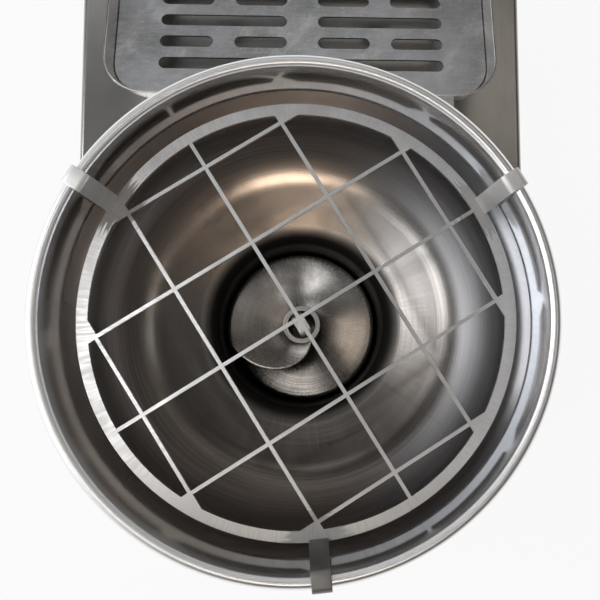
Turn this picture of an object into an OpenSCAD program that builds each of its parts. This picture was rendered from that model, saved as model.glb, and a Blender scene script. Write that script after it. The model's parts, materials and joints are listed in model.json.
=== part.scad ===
// Auger-fed hopper machine: a round stainless hopper with a lift-off guard, a feed auger that
// pushes soft food down a barrel to a front nozzle, and a sloping slotted tray behind it.
// Millimetres, +Z up, +Y to the back. The origin lies on the ground, under the middle of the box.

/* [Feet and housing] */
// Height of the rubber feet
foot_h = 30; // [20:1:45]
// Largest diameter of a foot
foot_d = 44; // [36:1:52]
// Distance of a foot's middle from the housing's walls
foot_inset = 42; // [34:1:60]
// Sheet thickness of the housing and the plinth
sheet = 2; // [1.5:0.1:2.6]
// Thickness of the base plate
base_t = 3; // [2:0.5:5]
// Width of the housing
house_w = 456; // [430:1:480]
// Height of the housing above the feet, to the top of its deck
house_h = 310; // [300:1:340]
// Distance from the auger axis to the housing's front
house_front = 126; // [118:1:140]
// Length of deck left behind the tray
house_rear = 32; // [20:1:60]
// Plan radius of the housing's front corners
corner_r = 8; // [4:0.5:14]
// Radius of the bend between the deck and the side walls
deck_bend_r = 5; // [3:0.5:10]
// Width of the inward flanges at the housing's base and back
flange_in = 16; // [14:1:22]

/* [Rear panel] */
// Length of a vent slot
vent_l = 70; // [40:1:90]
// Width of a vent slot
vent_w = 6; // [4:0.5:8]
// Distance between rows of vent slots
vent_pitch = 16; // [12:0.5:18]
// Rows of vent slots
vent_rows = 8; // [4:1:9]
// Cable hole through the gland
gland_bore = 10; // [6:0.5:14]
// Height of the gland above the base plate
gland_z = 45; // [34:1:70]

/* [Plinth and tray] */
// Width of the plinth on the deck
plinth_w = 294; // [250:1:310]
// Height of the plinth's flat top above the deck
plinth_h = 60; // [58:1:80]
// Length of deck left in front of the plinth
plinth_lead = 13; // [6:1:15]
// Distance from the auger axis to the tray's front fold
tray_y = 218; // [208:1:226]
// Slope of the tray, falling to the back, in degrees
tray_slope = 12.3; // [8:0.1:15]
// Length of the tray along its slope
tray_l = 190; // [160:1:198]
// Width of the tray's floor
tray_w = 363; // [340:1:380]
// Plan radius of the tray's corners at its floor
tray_corner_r = 36; // [25:1:50]
// Height of the tray's turned-up lip
lip_h = 18; // [10:1:25]
// Outward lean of the lip, in degrees
lip_lean = 19; // [10:1:30]
// Sheet thickness of the tray
tray_sheet = 1.5; // [1:0.1:2.5]
// Width of the tray's floor flange under the slotted plate
tray_ledge = 7; // [5:1:30]
// Thickness of the slotted plate
plate_t = 2; // [1.5:0.1:3]
// Width of a slot
slot_w = 12.5; // [9:0.5:14]
// Distance between rows of slots
slot_pitch = 24.3; // [20:0.1:28]
// Length of a long slot
slot_long = 123; // [116:0.5:126]
// Length of a short slot
slot_short = 51; // [40:0.5:52]
// Bare band between the left and right slots
slot_mid = 30.5; // [24:0.5:40]
// Distance from the plate's front edge to the first row of slots
slot_first = 36; // [25:1:40]

/* [Hopper bowl] */
// Diameter of the hopper over its rolled rim
rim_d = 400; // [385:1:420]
// Diameter of the rolled rim
bead_d = 10; // [8:0.5:13]
// Sheet thickness of the hopper
bowl_sheet = 1.5; // [1:0.1:2]
// Depth from the rim to the throat's corner
bowl_depth = 135; // [122:1:150]
// Lean of the hopper's wall from upright, in degrees
wall_lean = 10; // [6:0.5:28]
// Rise of the hopper's bottom from level, in degrees
bottom_rise = 12; // [6:0.5:15]
// Radius of the bend between wall and bottom
bend_r = 74; // [15:1:80]
// Radius of the throat's rounded lip
lip_r = 8; // [5:0.5:11]
// Straight length of the spigot below the lip
spigot_l = 9; // [8:0.5:14]

/* [Barrel and outlet] */
// Inside diameter of the barrel
barrel_id = 150; // [146:1:154]
// Wall of the barrel
barrel_wall = 2; // [1.5:0.1:3]
// Width of the barrel's flanges
flange_w = 22; // [18:1:26]
// Thickness of the flanges, the collar and the barrel's floor
flange_t = 6; // [5:0.5:8]
// Thickness of the flange gasket
gasket_t = 2; // [1:0.5:3]
// Bolts around each barrel flange
flange_bolt_n = 6; // [4:1:8]
// Diameter of the flange bolts
flange_bolt_d = 8; // [6:1:8]
// Inside diameter of the outlet pipe
outlet_id = 56; // [48:1:60]
// Reach of the outlet pipe in front of the housing
outlet_reach = 32; // [28:1:40]
// Inside diameter of the nozzle
nozzle_id = 40; // [30:1:44]
// Length of the nozzle's spout
nozzle_l = 25; // [18:1:30]

/* [Guard] */
// Gap between the guard's ring and the hopper's wall
ring_clear = 7.1; // [3:0.1:8]
// Gap between the lattice's corners and the ring
corner_gap = 5.9; // [3:0.1:12]
// Width of a bar
bar_w = 3; // [2.5:0.1:6]
// Thickness of the guard plate
guard_t = 3; // [2:0.1:4]
// Width of the guard's ring
ring_w = 9; // [7:0.5:11]
// Depth of the guard's top below the rim
guard_drop = 45; // [24:1:54]
// Turn of the bars from the left-right line, in degrees
guard_turn = 31.8; // [20:0.1:40]
// Width of a hook strap
strap_w = 15; // [12:0.5:20]
// Thickness of a hook strap
strap_t = 2; // [1.5:0.1:3]
// Depth of a hook's outer leg below the rim
hook_drop = 14; // [11:1:20]

/* [Auger] */
// Gap between the auger and the barrel
auger_gap = 4; // [1.5:0.5:8]
// Pitch of the flight
pitch = 65; // [55:1:75]
// Thickness of the flight
flight_t = 3; // [2:0.1:5]
// Depth of the flight's tip below the throat's corner
flight_drop = 20; // [14:1:30]
// Clear height under the flight, to the barrel's floor
flight_clear = 10; // [8:0.5:20]
// Direction of the flight's tip at the hub, in degrees
tip_angle = -59; // [-90:1:-30]
// Angle that the leading edge sweeps back from hub to rim
edge_sweep = 107; // [60:1:120]
// Wall of the hub tube
hub_wall = 4.5; // [4:0.5:7]
// Height of the hub above the flight's tip
hub_rise = 8; // [4:0.5:12]
// Length of the hub that sits over the shaft
hub_socket = 88; // [60:1:95]
// Width of the lifting bar across the hub's mouth
lift_bar_w = 11; // [8:0.5:14]
// Thickness of the lifting bar
lift_bar_t = 2.5; // [2:0.1:4]
// Direction of the lifting bar, in degrees
lift_bar_turn = -60; // [-90:1:90]

/* [Drive] */
// Diameter of the drive shaft
shaft_d = 25; // [22:0.5:25]
// Diameter of the drive pin through the shaft
pin_d = 8; // [6:0.5:9]
// Outside diameter of the drive shaft's bearings
bearing_od = 52; // [48:1:54]
// Width of the drive shaft's bearings
bearing_w = 15; // [12:0.5:16]
// Height of the gearbox housing
gear_h = 120; // [118:1:128]
// Thickness of the gearbox cover
cover_t = 10; // [8:0.5:12]
// Height of the bearing housing
bearing_house_h = 37; // [35:1:42]
// Module of the worm gear teeth
tooth_m = 2; // [1.8:0.05:2.1]
// Teeth on the worm wheel
wheel_teeth = 40; // [36:4:40]
// Width of the worm wheel
wheel_w = 24; // [18:1:28]
// Pitch diameter of the worm
worm_d = 24; // [22:0.5:26]
// Diameter of the worm shaft
worm_shaft_d = 14; // [12:0.5:15]
// Outside diameter of the worm shaft's bearings
worm_bearing_od = 32; // [30:0.5:35]
// Width of the worm shaft's bearings
worm_bearing_w = 10; // [8:0.5:11]
// Diameter of the motor
motor_d = 116; // [100:1:118]
// Length of the motor frame
motor_l = 140; // [110:1:160]

/* [Controls] */
// Diameter of the push buttons
button_d = 22; // [18:0.5:25]
// Travel of the push buttons
button_travel = 3; // [2:0.5:4]
// Height of the buttons above the base plate
button_z = 215; // [170:1:225]
// Distance from the middle to the nearer button and to the knob
control_x = 105; // [90:1:120]
// Distance between the buttons
button_pitch = 55; // [45:1:60]
// Diameter of the speed knob
knob_d = 40; // [32:1:48]
// Length of the speed knob
knob_l = 20; // [14:1:26]

/* [Clearances] */
// Gap at a slipping or welded round fit, on the radius
fit_gap = 0.05; // [0.02:0.01:0.1]
// Gap between loose pieces
loose_gap = 0.3; // [0.2:0.05:0.5]
// Gap between a screw or a pipe and the hole that lets it through
hole_gap = 1; // [0.5:0.1:1.5]

/* [Hidden] */
$fn = 96;
eps = 0.01;
over = 1;
arc_steps = 12;
nut_t = 6;
thread_end = 8;

// Heights, from the ground up
base_top = foot_h + base_t;
deck_z = foot_h + house_h;
plinth_top = deck_z + plinth_h;
gear_top = base_top + gear_h;
cover_top = gear_top + cover_t;
floor_z = cover_top + bearing_house_h;
floor_top = floor_z + flange_t;
gasket_z = plinth_top + flange_t;
collar_z = gasket_z + gasket_t;
throat_z = collar_z + spigot_l + lip_r * tan((90 - bottom_rise) / 2);
rim_z = throat_z + bowl_depth;
guard_z = rim_z - guard_drop;
tip_z = throat_z - flight_drop;
hub_gap = 6;
hub_z = floor_top + hub_gap;
hub_top = tip_z + hub_rise;

// Radii
barrel_r = barrel_id / 2;
barrel_or = barrel_r + barrel_wall;
flange_r = barrel_or + flange_w;
bolt_line = 0.55;
flange_pitch_r = barrel_or + flange_w * bolt_line;
spigot_r = barrel_r + bowl_sheet / 2;
spigot_or = barrel_r + bowl_sheet;
bead_r = bead_d / 2;
rim_r = rim_d / 2;
shaft_r = shaft_d / 2;
socket_r = shaft_r + fit_gap;
hub_r = socket_r + hub_wall;
auger_r = barrel_r - auger_gap;

// Worm gear: the worm lies across the wheel's side, with its axis along Y
gear_mid_z = base_top + gear_h / 2;
wheel_r = tooth_m * wheel_teeth / 2;
worm_x = wheel_r + worm_d / 2;
tooth_step = PI * tooth_m;
gear_wall = 18;
gear_end_wall = 16;
motor_seat = 2;
worm_room = 8;
gear_in_y = wheel_r + tooth_m;
gear_half_y = gear_in_y + gear_end_wall;
gear_x0 = -wheel_r - gear_wall;
gear_x1 = worm_x + motor_d / 2 + motor_seat;
worm_pocket_r = worm_d / 2 + worm_room;
gear_bolt_x = 12;
gear_bolt_y = 11;
motor_y = gear_half_y;
motor_flange_t = 12;
motor_back = motor_y + motor_flange_t + motor_l;
shield_t = 10;
fan_gap = 4;
fan_y = motor_back + shield_t + fan_gap;
fan_t = 16;
cowl_gap = 6;
cowl_back = fan_y + fan_t + cowl_gap;
core_share = 0.6;
core_l = motor_l * core_share;
core_y = motor_y + motor_flange_t + (motor_l - core_l) / 2;
motor_rim = 12.8;
motor_r = motor_d / 2 - motor_rim;
motor_wall = 8;
motor_bolt_in = 5.8;
motor_bolt_r = motor_d / 2 - motor_bolt_in;
rotor_r = motor_r / 2;
air_gap = 0.5;
gear_thread = 16;
motor_thread = 12;

// Outlet
outlet_r = outlet_id / 2;
outlet_or = outlet_r + barrel_wall;
outlet_gap = 4;
outlet_flange_w = 18;
outlet_bolt_out = 10;
outlet_z = floor_top + flange_t + outlet_or + outlet_gap;
outlet_flange_r = outlet_or + outlet_flange_w;
outlet_bolt_r = outlet_or + outlet_bolt_out;
outlet_end = house_front + outlet_reach;
grommet_w = 8;
grommet_t = 4;

// Plinth and housing ends, which follow the tray
plinth_front = house_front - plinth_lead;
tray_back_y = tray_y + tray_l * cos(tray_slope);
house_back = tray_back_y + house_rear;

// Cable gland
gland_wall = 5;
gland_hex_w = 4.5;
gland_hex_t = 9;
gland_r = gland_bore / 2 + gland_wall;
gland_hex_r = gland_r + gland_hex_w;
gland_in = 9;
gland_out = 22;
gland_inset = 73;
gland_x = gland_inset - house_w / 2;

// Guard
hook_top = rim_z + loose_gap + strap_t / 2;
hook_out_r = rim_r + loose_gap + strap_t / 2;
hook_flare = 1;
hook_lap = 7;
hook_angles = [guard_turn, guard_turn + 180 - atan2(2, 1), guard_turn - 180 + atan2(2, 1)];

// Place of the auger axis, so that the box's middle lies on the origin
front_lean = 90 + hook_angles[2];
hook_reach = (hook_out_r + hook_flare + strap_t / 2) * cos(front_lean) + strap_w / 2 * abs(sin(front_lean));
front_reach = max(hook_reach, rim_r);
back_reach = house_back + sheet + gland_out;
axis_y = (front_reach - back_reach) / 2;

// Plane helpers: a corner rounded to an arc, a path with rounded corners, a strip along a path
function unit(v) = v / norm(v);
function short_turn(a) = a > 180 ? a - 360 : a < -180 ? a + 360 : a;
function corner(p, q, s, r) =
    let (a = unit(p - q), b = unit(s - q), half = acos(a * b) / 2)
    let (c = q + unit(a + b) * r / sin(half), cut = r / tan(half))
    let (from = q + a * cut - c, to = q + b * cut - c)
    let (a0 = atan2(from.y, from.x), turn = short_turn(atan2(to.y, to.x) - a0))
    [for (k = [0:arc_steps]) c + r * [cos(a0 + turn * k / arc_steps), sin(a0 + turn * k / arc_steps)]];
function bent(path, radii) =
    let (last = len(path) - 1)
    [path[0],
     for (i = [1:last - 1]) each corner(path[i - 1], path[i], path[i + 1], radii[i - 1]),
     path[last]];
function beside(path, i, off) =
    let (last = len(path) - 1)
    let (u = unit(i > 0 ? path[i] - path[i - 1] : path[1] - path[0]))
    let (v = unit(i < last ? path[i + 1] - path[i] : path[last] - path[last - 1]))
    let (m = unit([-u.y - v.y, u.x + v.x]))
    path[i] + m * off / (m * [-u.y, u.x]);
function strip(path, t) =
    let (last = len(path) - 1)
    [for (i = [0:last]) beside(path, i, t / 2), for (i = [last:-1:0]) beside(path, i, -t / 2)];

module at_axis() {
    translate([0, axis_y, 0]) children();
}

module ring(r_out, r_in, h) {
    difference() {
        cylinder(r = r_out, h = h);
        translate([0, 0, -over]) cylinder(r = r_in, h = h + 2 * over);
    }
}

// Cylinder along Y, from y to y + l
module rod_y(x, y, z, r, l) {
    translate([x, y, z]) rotate([-90, 0, 0]) cylinder(r = r, h = l);
}

module around(n, r, turn) {
    for (k = [0:n - 1]) rotate(turn + 360 * k / n) translate([r, 0, 0]) children();
}

// The flange bolts lie to both sides of the outlet
module flange_bolt_places() {
    around(flange_bolt_n, flange_pitch_r, 180 / flange_bolt_n - 90) children();
}

module flange_bolt_holes(z, h) {
    translate([0, 0, z - over]) flange_bolt_places()
        cylinder(r = flange_bolt_d / 2 + fit_gap, h = h + 2 * over);
}

// Hexagon-head bolt: the shank runs down from the head's underside at z = 0
hex_ratio = 1.9;
head_ratio = 0.65;

module bolt(d, l) {
    cylinder(d = hex_ratio * d, h = head_ratio * d, $fn = 6);
    translate([0, 0, -l]) cylinder(d = d, h = l + eps);
}

module nut(d) {
    cylinder(d = hex_ratio * d, h = nut_t, $fn = 6);
}

// Round-head screw, the same way up
screw_head = 2;
screw_crown = 1.3;
screw_rise = 0.55;

module screw(d, l) {
    cylinder(d1 = screw_head * d, d2 = screw_crown * d, h = screw_rise * d);
    translate([0, 0, -l]) cylinder(d = d, h = l + eps);
}

// Housing
foot_places = [for (x = [-1, 1], y = [-house_front + foot_inset, house_back - foot_inset])
               [x * (house_w / 2 - foot_inset), y]];
foot_taper = 4.4;
stud_d = 8;
stud_in = 18;
stud_z = foot_h - stud_in;
screw_d = 4;
screw_end = 4;
screw_inset = 60;
house_l = house_front + house_back;
base_screw_ys = [for (k = [0:2]) -house_front + 2 * screw_inset + k * (house_l - 3 * screw_inset) / 2];
rear_screw_zs = [for (k = [0:2]) base_top + screw_inset / 2 + k * (house_h - base_t - screw_inset) / 2];
flange_mid_x = house_w / 2 - sheet - (flange_in - sheet) / 2;

module feet() {
    color("dimgray") at_axis() for (p = foot_places) translate(p) difference() {
        cylinder(d1 = foot_d, d2 = foot_d - 2 * foot_taper, h = foot_h);
        translate([0, 0, stud_z]) cylinder(r = stud_d / 2 + fit_gap, h = foot_h);
    }
}

module foot_studs() {
    color("silver") at_axis() for (p = foot_places) translate(p) {
        translate([0, 0, stud_z]) cylinder(d = stud_d, h = base_top - stud_z + thread_end);
        translate([0, 0, base_top]) nut(stud_d);
    }
}

module plan_block(inset, z0, z1, y_end) {
    r = corner_r - min(inset, corner_r - 1);
    w = house_w - 2 * inset;
    y0 = -house_front + inset;
    translate([0, 0, z0]) {
        translate([-w / 2, y0 + r, 0]) cube([w, y_end - y0 - r, z1 - z0]);
        translate([-w / 2 + r, y0, 0]) cube([w - 2 * r, r + eps, z1 - z0]);
        for (s = [-1, 1]) translate([s * (w / 2 - r), y0 + r, 0]) cylinder(r = r, h = z1 - z0);
    }
}

module house_block(inset, z0, y_end) {
    r = deck_bend_r - min(inset, deck_bend_r - 1);
    w = house_w - 2 * inset;
    y0 = -house_front - over;
    l = y_end - y0 + over;
    z1 = deck_z - inset;
    intersection() {
        plan_block(inset, z0, z1, y_end);
        union() {
            translate([-w / 2, y0, z0]) cube([w, l, z1 - r - z0]);
            translate([-w / 2 + r, y0, z0]) cube([w - 2 * r, l, z1 - z0]);
            for (s = [-1, 1]) rod_y(s * (w / 2 - r), y0, z1 - r, r, l);
        }
    }
}

module base_plate() {
    color("silver") at_axis() difference() {
        plan_block(0, foot_h, base_top, house_back);
        for (p = foot_places) translate([p.x, p.y, foot_h - over])
            cylinder(r = stud_d / 2 + fit_gap, h = base_t + 2 * over);
        base_screw_places() translate([0, 0, foot_h - over])
            cylinder(r = screw_d / 2 + fit_gap, h = base_t + 2 * over);
        gearbox_bolt_places() translate([0, 0, foot_h - over])
            cylinder(r = stud_d / 2 + fit_gap, h = base_t + 2 * over);
    }
}

module base_screw_places() {
    for (s = [-1, 1], y = base_screw_ys) translate([s * flange_mid_x, y, 0]) children();
}

module base_screws() {
    color("silver") at_axis() base_screw_places() translate([0, 0, foot_h]) rotate([180, 0, 0])
        screw(screw_d, base_t + sheet + screw_end);
}

module rear_screw_places() {
    for (s = [-1, 1], z = rear_screw_zs) translate([s * flange_mid_x, house_back, z]) children();
}

module housing_shell() {
    inner = flange_in;
    color("silver") at_axis() difference() {
        house_block(0, base_top, house_back);
        house_block(sheet, base_top + sheet, house_back - sheet);
        translate([-house_w / 2 + inner, -house_front + inner, base_top - over])
            cube([house_w - 2 * inner, house_back + house_front - 2 * inner, sheet + 2 * over]);
        translate([-house_w / 2 + inner, house_back - sheet - over, base_top + inner])
            cube([house_w - 2 * inner, sheet + 2 * over, house_h - base_t - 2 * inner]);
        translate([0, 0, deck_z - sheet - over]) cylinder(r = barrel_or + hole_gap, h = sheet + 2 * over);
        rod_y(0, -house_front - over, outlet_z, outlet_or + hole_gap, sheet + 2 * over);
        for (x = button_xs) rod_y(x, -house_front - over, control_z, bezel_r + loose_gap, sheet + 2 * over);
        rod_y(-control_x, -house_front - over, control_z, spindle_r + hole_gap, sheet + 2 * over);
        base_screw_places() translate([0, 0, base_top - over])
            cylinder(r = screw_d / 2 + fit_gap, h = sheet + 2 * over);
        rear_screw_places() rod_y(0, -sheet - over, 0, screw_d / 2 + fit_gap, sheet + 2 * over);
    }
}

vent_inset = 137;
vent_low = 90;
vent_x = house_w / 2 - vent_inset;
vent_z = base_top + vent_low;

module rear_panel() {
    color("silver") at_axis() difference() {
        translate([-house_w / 2 + deck_bend_r, house_back, base_top])
            cube([house_w - 2 * deck_bend_r, sheet, deck_z - deck_bend_r - base_top]);
        for (s = [-1, 1], k = [0:vent_rows - 1])
            translate([s * vent_x - vent_l / 2, house_back - over, vent_z + k * vent_pitch])
                cube([vent_l, sheet + 2 * over, vent_w]);
        rod_y(gland_x, house_back - over, base_top + gland_z, gland_r + fit_gap, sheet + 2 * over);
        rear_screw_places() rod_y(0, -over, 0, screw_d / 2 + fit_gap, sheet + 2 * over);
    }
}

module rear_screws() {
    color("silver") at_axis() rear_screw_places() translate([0, sheet, 0]) rotate([-90, 0, 0])
        screw(screw_d, 2 * sheet + screw_end);
}

module cable_gland() {
    y0 = house_back - gland_in;
    l = gland_in + sheet + gland_out;
    color("darkgray") at_axis() translate([gland_x, 0, base_top + gland_z]) difference() {
        union() {
            rod_y(0, y0, 0, gland_r, l);
            translate([0, house_back + sheet, 0]) rotate([-90, 0, 0])
                cylinder(r = gland_hex_r, h = gland_hex_t, $fn = 6);
            translate([0, house_back - nut_t, 0]) rotate([-90, 0, 0])
                cylinder(r = gland_hex_r, h = nut_t, $fn = 6);
        }
        rod_y(0, y0 - over, 0, gland_bore / 2, l + 2 * over);
    }
}

// Plinth: a folded cover with a flat top under the hopper and a slope under the tray
module plinth_profile(inset) {
    top = plinth_h - inset;
    down = inset / cos(tray_slope);
    knee = tray_y + (inset - down) / tan(tray_slope);
    back = tray_back_y - inset;
    polygon([[-plinth_front + inset, inset > 0 ? -over : 0], [-plinth_front + inset, top], [knee, top],
             [back, plinth_h - down - (back - tray_y) * tan(tray_slope)], [back, inset > 0 ? -over : 0]]);
}

module plinth_solid(inset) {
    w = plinth_w - 2 * inset;
    translate([-w / 2, 0, deck_z]) rotate([90, 0, 90]) linear_extrude(w) plinth_profile(inset);
}

module plinth() {
    color("gainsboro") at_axis() difference() {
        plinth_solid(0);
        plinth_solid(sheet);
        translate([0, 0, plinth_top - sheet - over]) cylinder(r = barrel_or + hole_gap, h = sheet + 2 * over);
        flange_bolt_holes(plinth_top - sheet, sheet);
        on_slope() tray_opening(plinth_h / 3);
    }
}

// Frame of the sloping tray: x across, y down the slope, z out of the slope
module on_slope() {
    translate([0, tray_y, plinth_top]) rotate([-tray_slope, 0, 0]) children();
}

// Opening under the slotted plate, reaching z to both sides of the slope
module tray_opening(z) {
    translate([-plinth_w / 2 + tray_ledge, tray_ledge, -z])
        cube([plinth_w - 2 * tray_ledge, tray_l - 2 * tray_ledge, 2 * z]);
}

module tray_form(inset, z0, h, lean) {
    w = tray_w / 2 - tray_corner_r;
    hull() for (x = [-w, w], y = [tray_corner_r, tray_l - tray_corner_r]) translate([x, y, z0])
        cylinder(r1 = tray_corner_r - inset, r2 = tray_corner_r - inset + h * tan(lean), h = h, $fn = 48);
}

module tray_pan() {
    color("silver") at_axis() on_slope() difference() {
        tray_form(0, 0, lip_h, lip_lean);
        tray_form(tray_sheet, tray_sheet, lip_h, lip_lean);
        tray_opening(tray_sheet + over);
    }
}

plate_gap = tray_sheet + loose_gap;
slot_rows = floor((tray_l - 2 * slot_first) / slot_pitch) + 1;

// Slot along X with round ends, from x to x + l
module slot(x, y, l) {
    r = slot_w / 2;
    translate([x + r, y - r, 0]) cube([l - slot_w, slot_w, plate_t + 2 * over]);
    for (e = [r, l - r]) translate([x + e, y, 0]) cylinder(r = r, h = plate_t + 2 * over);
}

module slot_row(y, long) {
    for (s = [0, 1]) mirror([s, 0, 0]) {
        if (long) slot(slot_mid / 2, y, slot_long);
        if (!long) slot(slot_mid / 2, y, slot_short);
        if (!long) slot(slot_mid / 2 + slot_long - slot_short, y, slot_short);
    }
}

module slotted_plate() {
    r = tray_corner_r - plate_gap;
    w = tray_w - 2 * plate_gap;
    l = tray_l - 2 * plate_gap;
    color("lightgray") at_axis() on_slope() translate([0, plate_gap, tray_sheet]) difference() {
        union() {
            translate([-w / 2, r, 0]) cube([w, l - 2 * r, plate_t]);
            translate([-w / 2 + r, 0, 0]) cube([w - 2 * r, l, plate_t]);
            for (x = [-1, 1], y = [r, l - r]) translate([x * (w / 2 - r), y, 0]) cylinder(r = r, h = plate_t);
        }
        translate([0, 0, -over]) for (k = [0:slot_rows - 1])
            slot_row(slot_first - plate_gap + k * slot_pitch, k % 2 == 0);
    }
}

// Barrel, its floor and its flanges
module barrel() {
    top = plinth_top + flange_t;
    color("silver") at_axis() difference() {
        union() {
            translate([0, 0, floor_top]) cylinder(r = barrel_or, h = top - floor_top);
            translate([0, 0, floor_top]) cylinder(r = flange_r, h = flange_t);
            translate([0, 0, plinth_top]) cylinder(r = flange_r, h = flange_t);
        }
        translate([0, 0, floor_top - over]) cylinder(r = barrel_r, h = top - floor_top + 2 * over);
        rod_y(0, -barrel_or - over, outlet_z, outlet_r, barrel_or);
        flange_bolt_holes(floor_top, flange_t);
        flange_bolt_holes(plinth_top, flange_t);
    }
}

bearing_wall = 6;
house_bolt_out = 16;
house_bolt_edge = 10;
house_bolt_d = 6;
spigot_in_r = bearing_od / 2 + bearing_wall;
house_bolt_r = spigot_in_r + house_bolt_out;
house_flange_r = house_bolt_r + house_bolt_edge;

module barrel_floor() {
    color("silver") at_axis() translate([0, 0, floor_z]) difference() {
        cylinder(r = flange_r, h = flange_t);
        translate([0, 0, -over]) cylinder(r = spigot_in_r + fit_gap, h = flange_t + 2 * over);
        flange_bolt_holes(0, flange_t);
        translate([0, 0, -over]) around(4, house_bolt_r, 45)
            cylinder(r = house_bolt_d / 2 + fit_gap, h = flange_t + 2 * over);
    }
}

// The floor bolts come up from below, and the nuts sit on the barrel's lower flange
module floor_bolts() {
    color("silver") at_axis() flange_bolt_places() {
        translate([0, 0, floor_z]) rotate([180, 0, 0]) bolt(flange_bolt_d, 2 * flange_t + thread_end);
        translate([0, 0, floor_top + flange_t]) nut(flange_bolt_d);
    }
}

module flange_gasket() {
    color("white") at_axis() translate([0, 0, gasket_z]) difference() {
        ring(flange_r, barrel_r, gasket_t);
        flange_bolt_holes(0, gasket_t);
    }
}

module flange_bolts() {
    grip = collar_z + flange_t - plinth_top + sheet;
    color("silver") at_axis() flange_bolt_places() {
        translate([0, 0, collar_z + flange_t]) bolt(flange_bolt_d, grip + thread_end);
        translate([0, 0, plinth_top - sheet - nut_t]) nut(flange_bolt_d);
    }
}

module outlet_pipe() {
    color("silver") at_axis() difference() {
        union() {
            rod_y(0, -outlet_end, outlet_z, outlet_or, outlet_end);
            rod_y(0, -outlet_end, outlet_z, outlet_flange_r, flange_t);
        }
        rod_y(0, -outlet_end - over, outlet_z, outlet_r, outlet_end + 2 * over);
        translate([0, 0, floor_top]) cylinder(r = barrel_or + fit_gap, h = plinth_top - floor_top);
        outlet_bolt_places() rod_y(0, -over, 0, house_bolt_d / 2 + fit_gap, flange_t + 2 * over);
    }
}

module outlet_bolt_places() {
    for (a = [45:90:315])
        translate([outlet_bolt_r * cos(a), -outlet_end, outlet_z + outlet_bolt_r * sin(a)]) children();
}

module outlet_grommet() {
    y0 = -house_front - grommet_t;
    color("dimgray") at_axis() difference() {
        rod_y(0, y0, outlet_z, outlet_or + grommet_w, grommet_t);
        rod_y(0, y0 - over, outlet_z, outlet_or + fit_gap, grommet_t + 2 * over);
    }
}

module nozzle() {
    y0 = -outlet_end - flange_t;
    color("silver") at_axis() difference() {
        union() {
            rod_y(0, y0, outlet_z, outlet_flange_r, flange_t);
            translate([0, y0 + eps, outlet_z]) rotate([90, 0, 0])
                cylinder(r1 = outlet_r, r2 = nozzle_id / 2 + nozzle_wall, h = nozzle_l);
        }
        rod_y(0, y0 - nozzle_l - over, outlet_z, nozzle_id / 2, nozzle_l + flange_t + 2 * over);
        outlet_bolt_places() rod_y(0, -flange_t - over, 0, house_bolt_d / 2 + fit_gap, flange_t + 2 * over);
    }
}

nozzle_wall = 3;

// Bolts through both outlet flanges, with their nuts behind
module nozzle_bolts() {
    color("silver") at_axis() outlet_bolt_places() {
        translate([0, -flange_t, 0]) rotate([90, 0, 0]) bolt(house_bolt_d, 2 * flange_t + thread_end);
        translate([0, flange_t, 0]) rotate([-90, 0, 0]) nut(house_bolt_d);
    }
}

// Hopper
bead_mid = [rim_r - bead_r, rim_z - bead_r];
wall_top = bead_mid + (bead_r - bowl_sheet / 2) * [-cos(wall_lean), sin(wall_lean)];
throat_corner = [spigot_r, throat_z];
wall_span = wall_top - throat_corner;
bottom_l = (wall_span.x * cos(wall_lean) - wall_span.y * sin(wall_lean)) / cos(wall_lean + bottom_rise);
wall_foot = throat_corner + bottom_l * [cos(bottom_rise), sin(bottom_rise)];
bowl_path = bent([[spigot_r, collar_z], throat_corner, wall_foot, wall_top], [lip_r, bend_r]);

module hopper_bowl() {
    color("silver") at_axis() {
        rotate_extrude() polygon(strip(bowl_path, bowl_sheet));
        rotate_extrude() difference() {
            translate(bead_mid) circle(r = bead_r, $fn = 48);
            translate(bead_mid) circle(r = bead_r - bowl_sheet, $fn = 48);
        }
    }
}

module rim_wire() {
    color("gray") at_axis() rotate_extrude() translate(bead_mid)
        circle(r = bead_r - bowl_sheet - loose_gap, $fn = 48);
}

module bowl_collar() {
    color("silver") at_axis() translate([0, 0, collar_z]) difference() {
        ring(flange_r, spigot_or + fit_gap, flange_t);
        flange_bolt_holes(0, flange_t);
    }
}

// Guard: one flat plate with bars in a square lattice, and three hooks over the rim.
// Its ring follows the hopper's wall at the depth of the plate's underside, and the bars follow the ring.
guard_low = guard_drop + guard_t - bead_r;
wall_r = bead_mid.x - (bead_r + guard_low * sin(wall_lean)) / cos(wall_lean);
ring_or = wall_r - ring_clear;
ring_r = ring_or - ring_w;
cell = (ring_r - corner_gap) / sqrt(5);

module guard_bar(off, half) {
    translate([-half, off - bar_w / 2, 0]) cube([2 * half, bar_w, guard_t]);
}

module guard_lattice() {
    guard_bar(0, ring_r + ring_w / 2);
    for (s = [-1, 1]) {
        guard_bar(s * cell, 2 * cell);
        guard_bar(s * 2 * cell, cell);
    }
}

// Webs that fill the outer corners of the lattice, out to the ring
module guard_webs() {
    intersection() {
        cylinder(r = ring_r + ring_w / 2, h = guard_t);
        for (x = [-1, 1], y = [-1, 1], p = [[1, 2], [2, 1]]) scale([x, y, 1])
            translate([p.x * cell - bar_w / 2, p.y * cell - bar_w / 2, 0]) cube([cell, cell, guard_t]);
    }
}

module guard_grid() {
    color("whitesmoke") at_axis() translate([0, 0, guard_z - guard_t]) rotate(guard_turn) {
        ring(ring_or, ring_r, guard_t);
        guard_lattice();
        rotate(90) guard_lattice();
        guard_webs();
    }
}

hook_start = 1.6;
hook_bend_r = 2 * strap_t;
hook_foot_z = guard_z + strap_t / 2;
hook_path = bent([[ring_or - hook_lap, hook_foot_z], [ring_or + over, hook_foot_z],
                  [bead_mid.x - hook_start * bead_r, hook_top], [hook_out_r, hook_top],
                  [hook_out_r + hook_flare, rim_z - hook_drop]], [hook_bend_r, hook_bend_r, hook_bend_r]);

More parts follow.
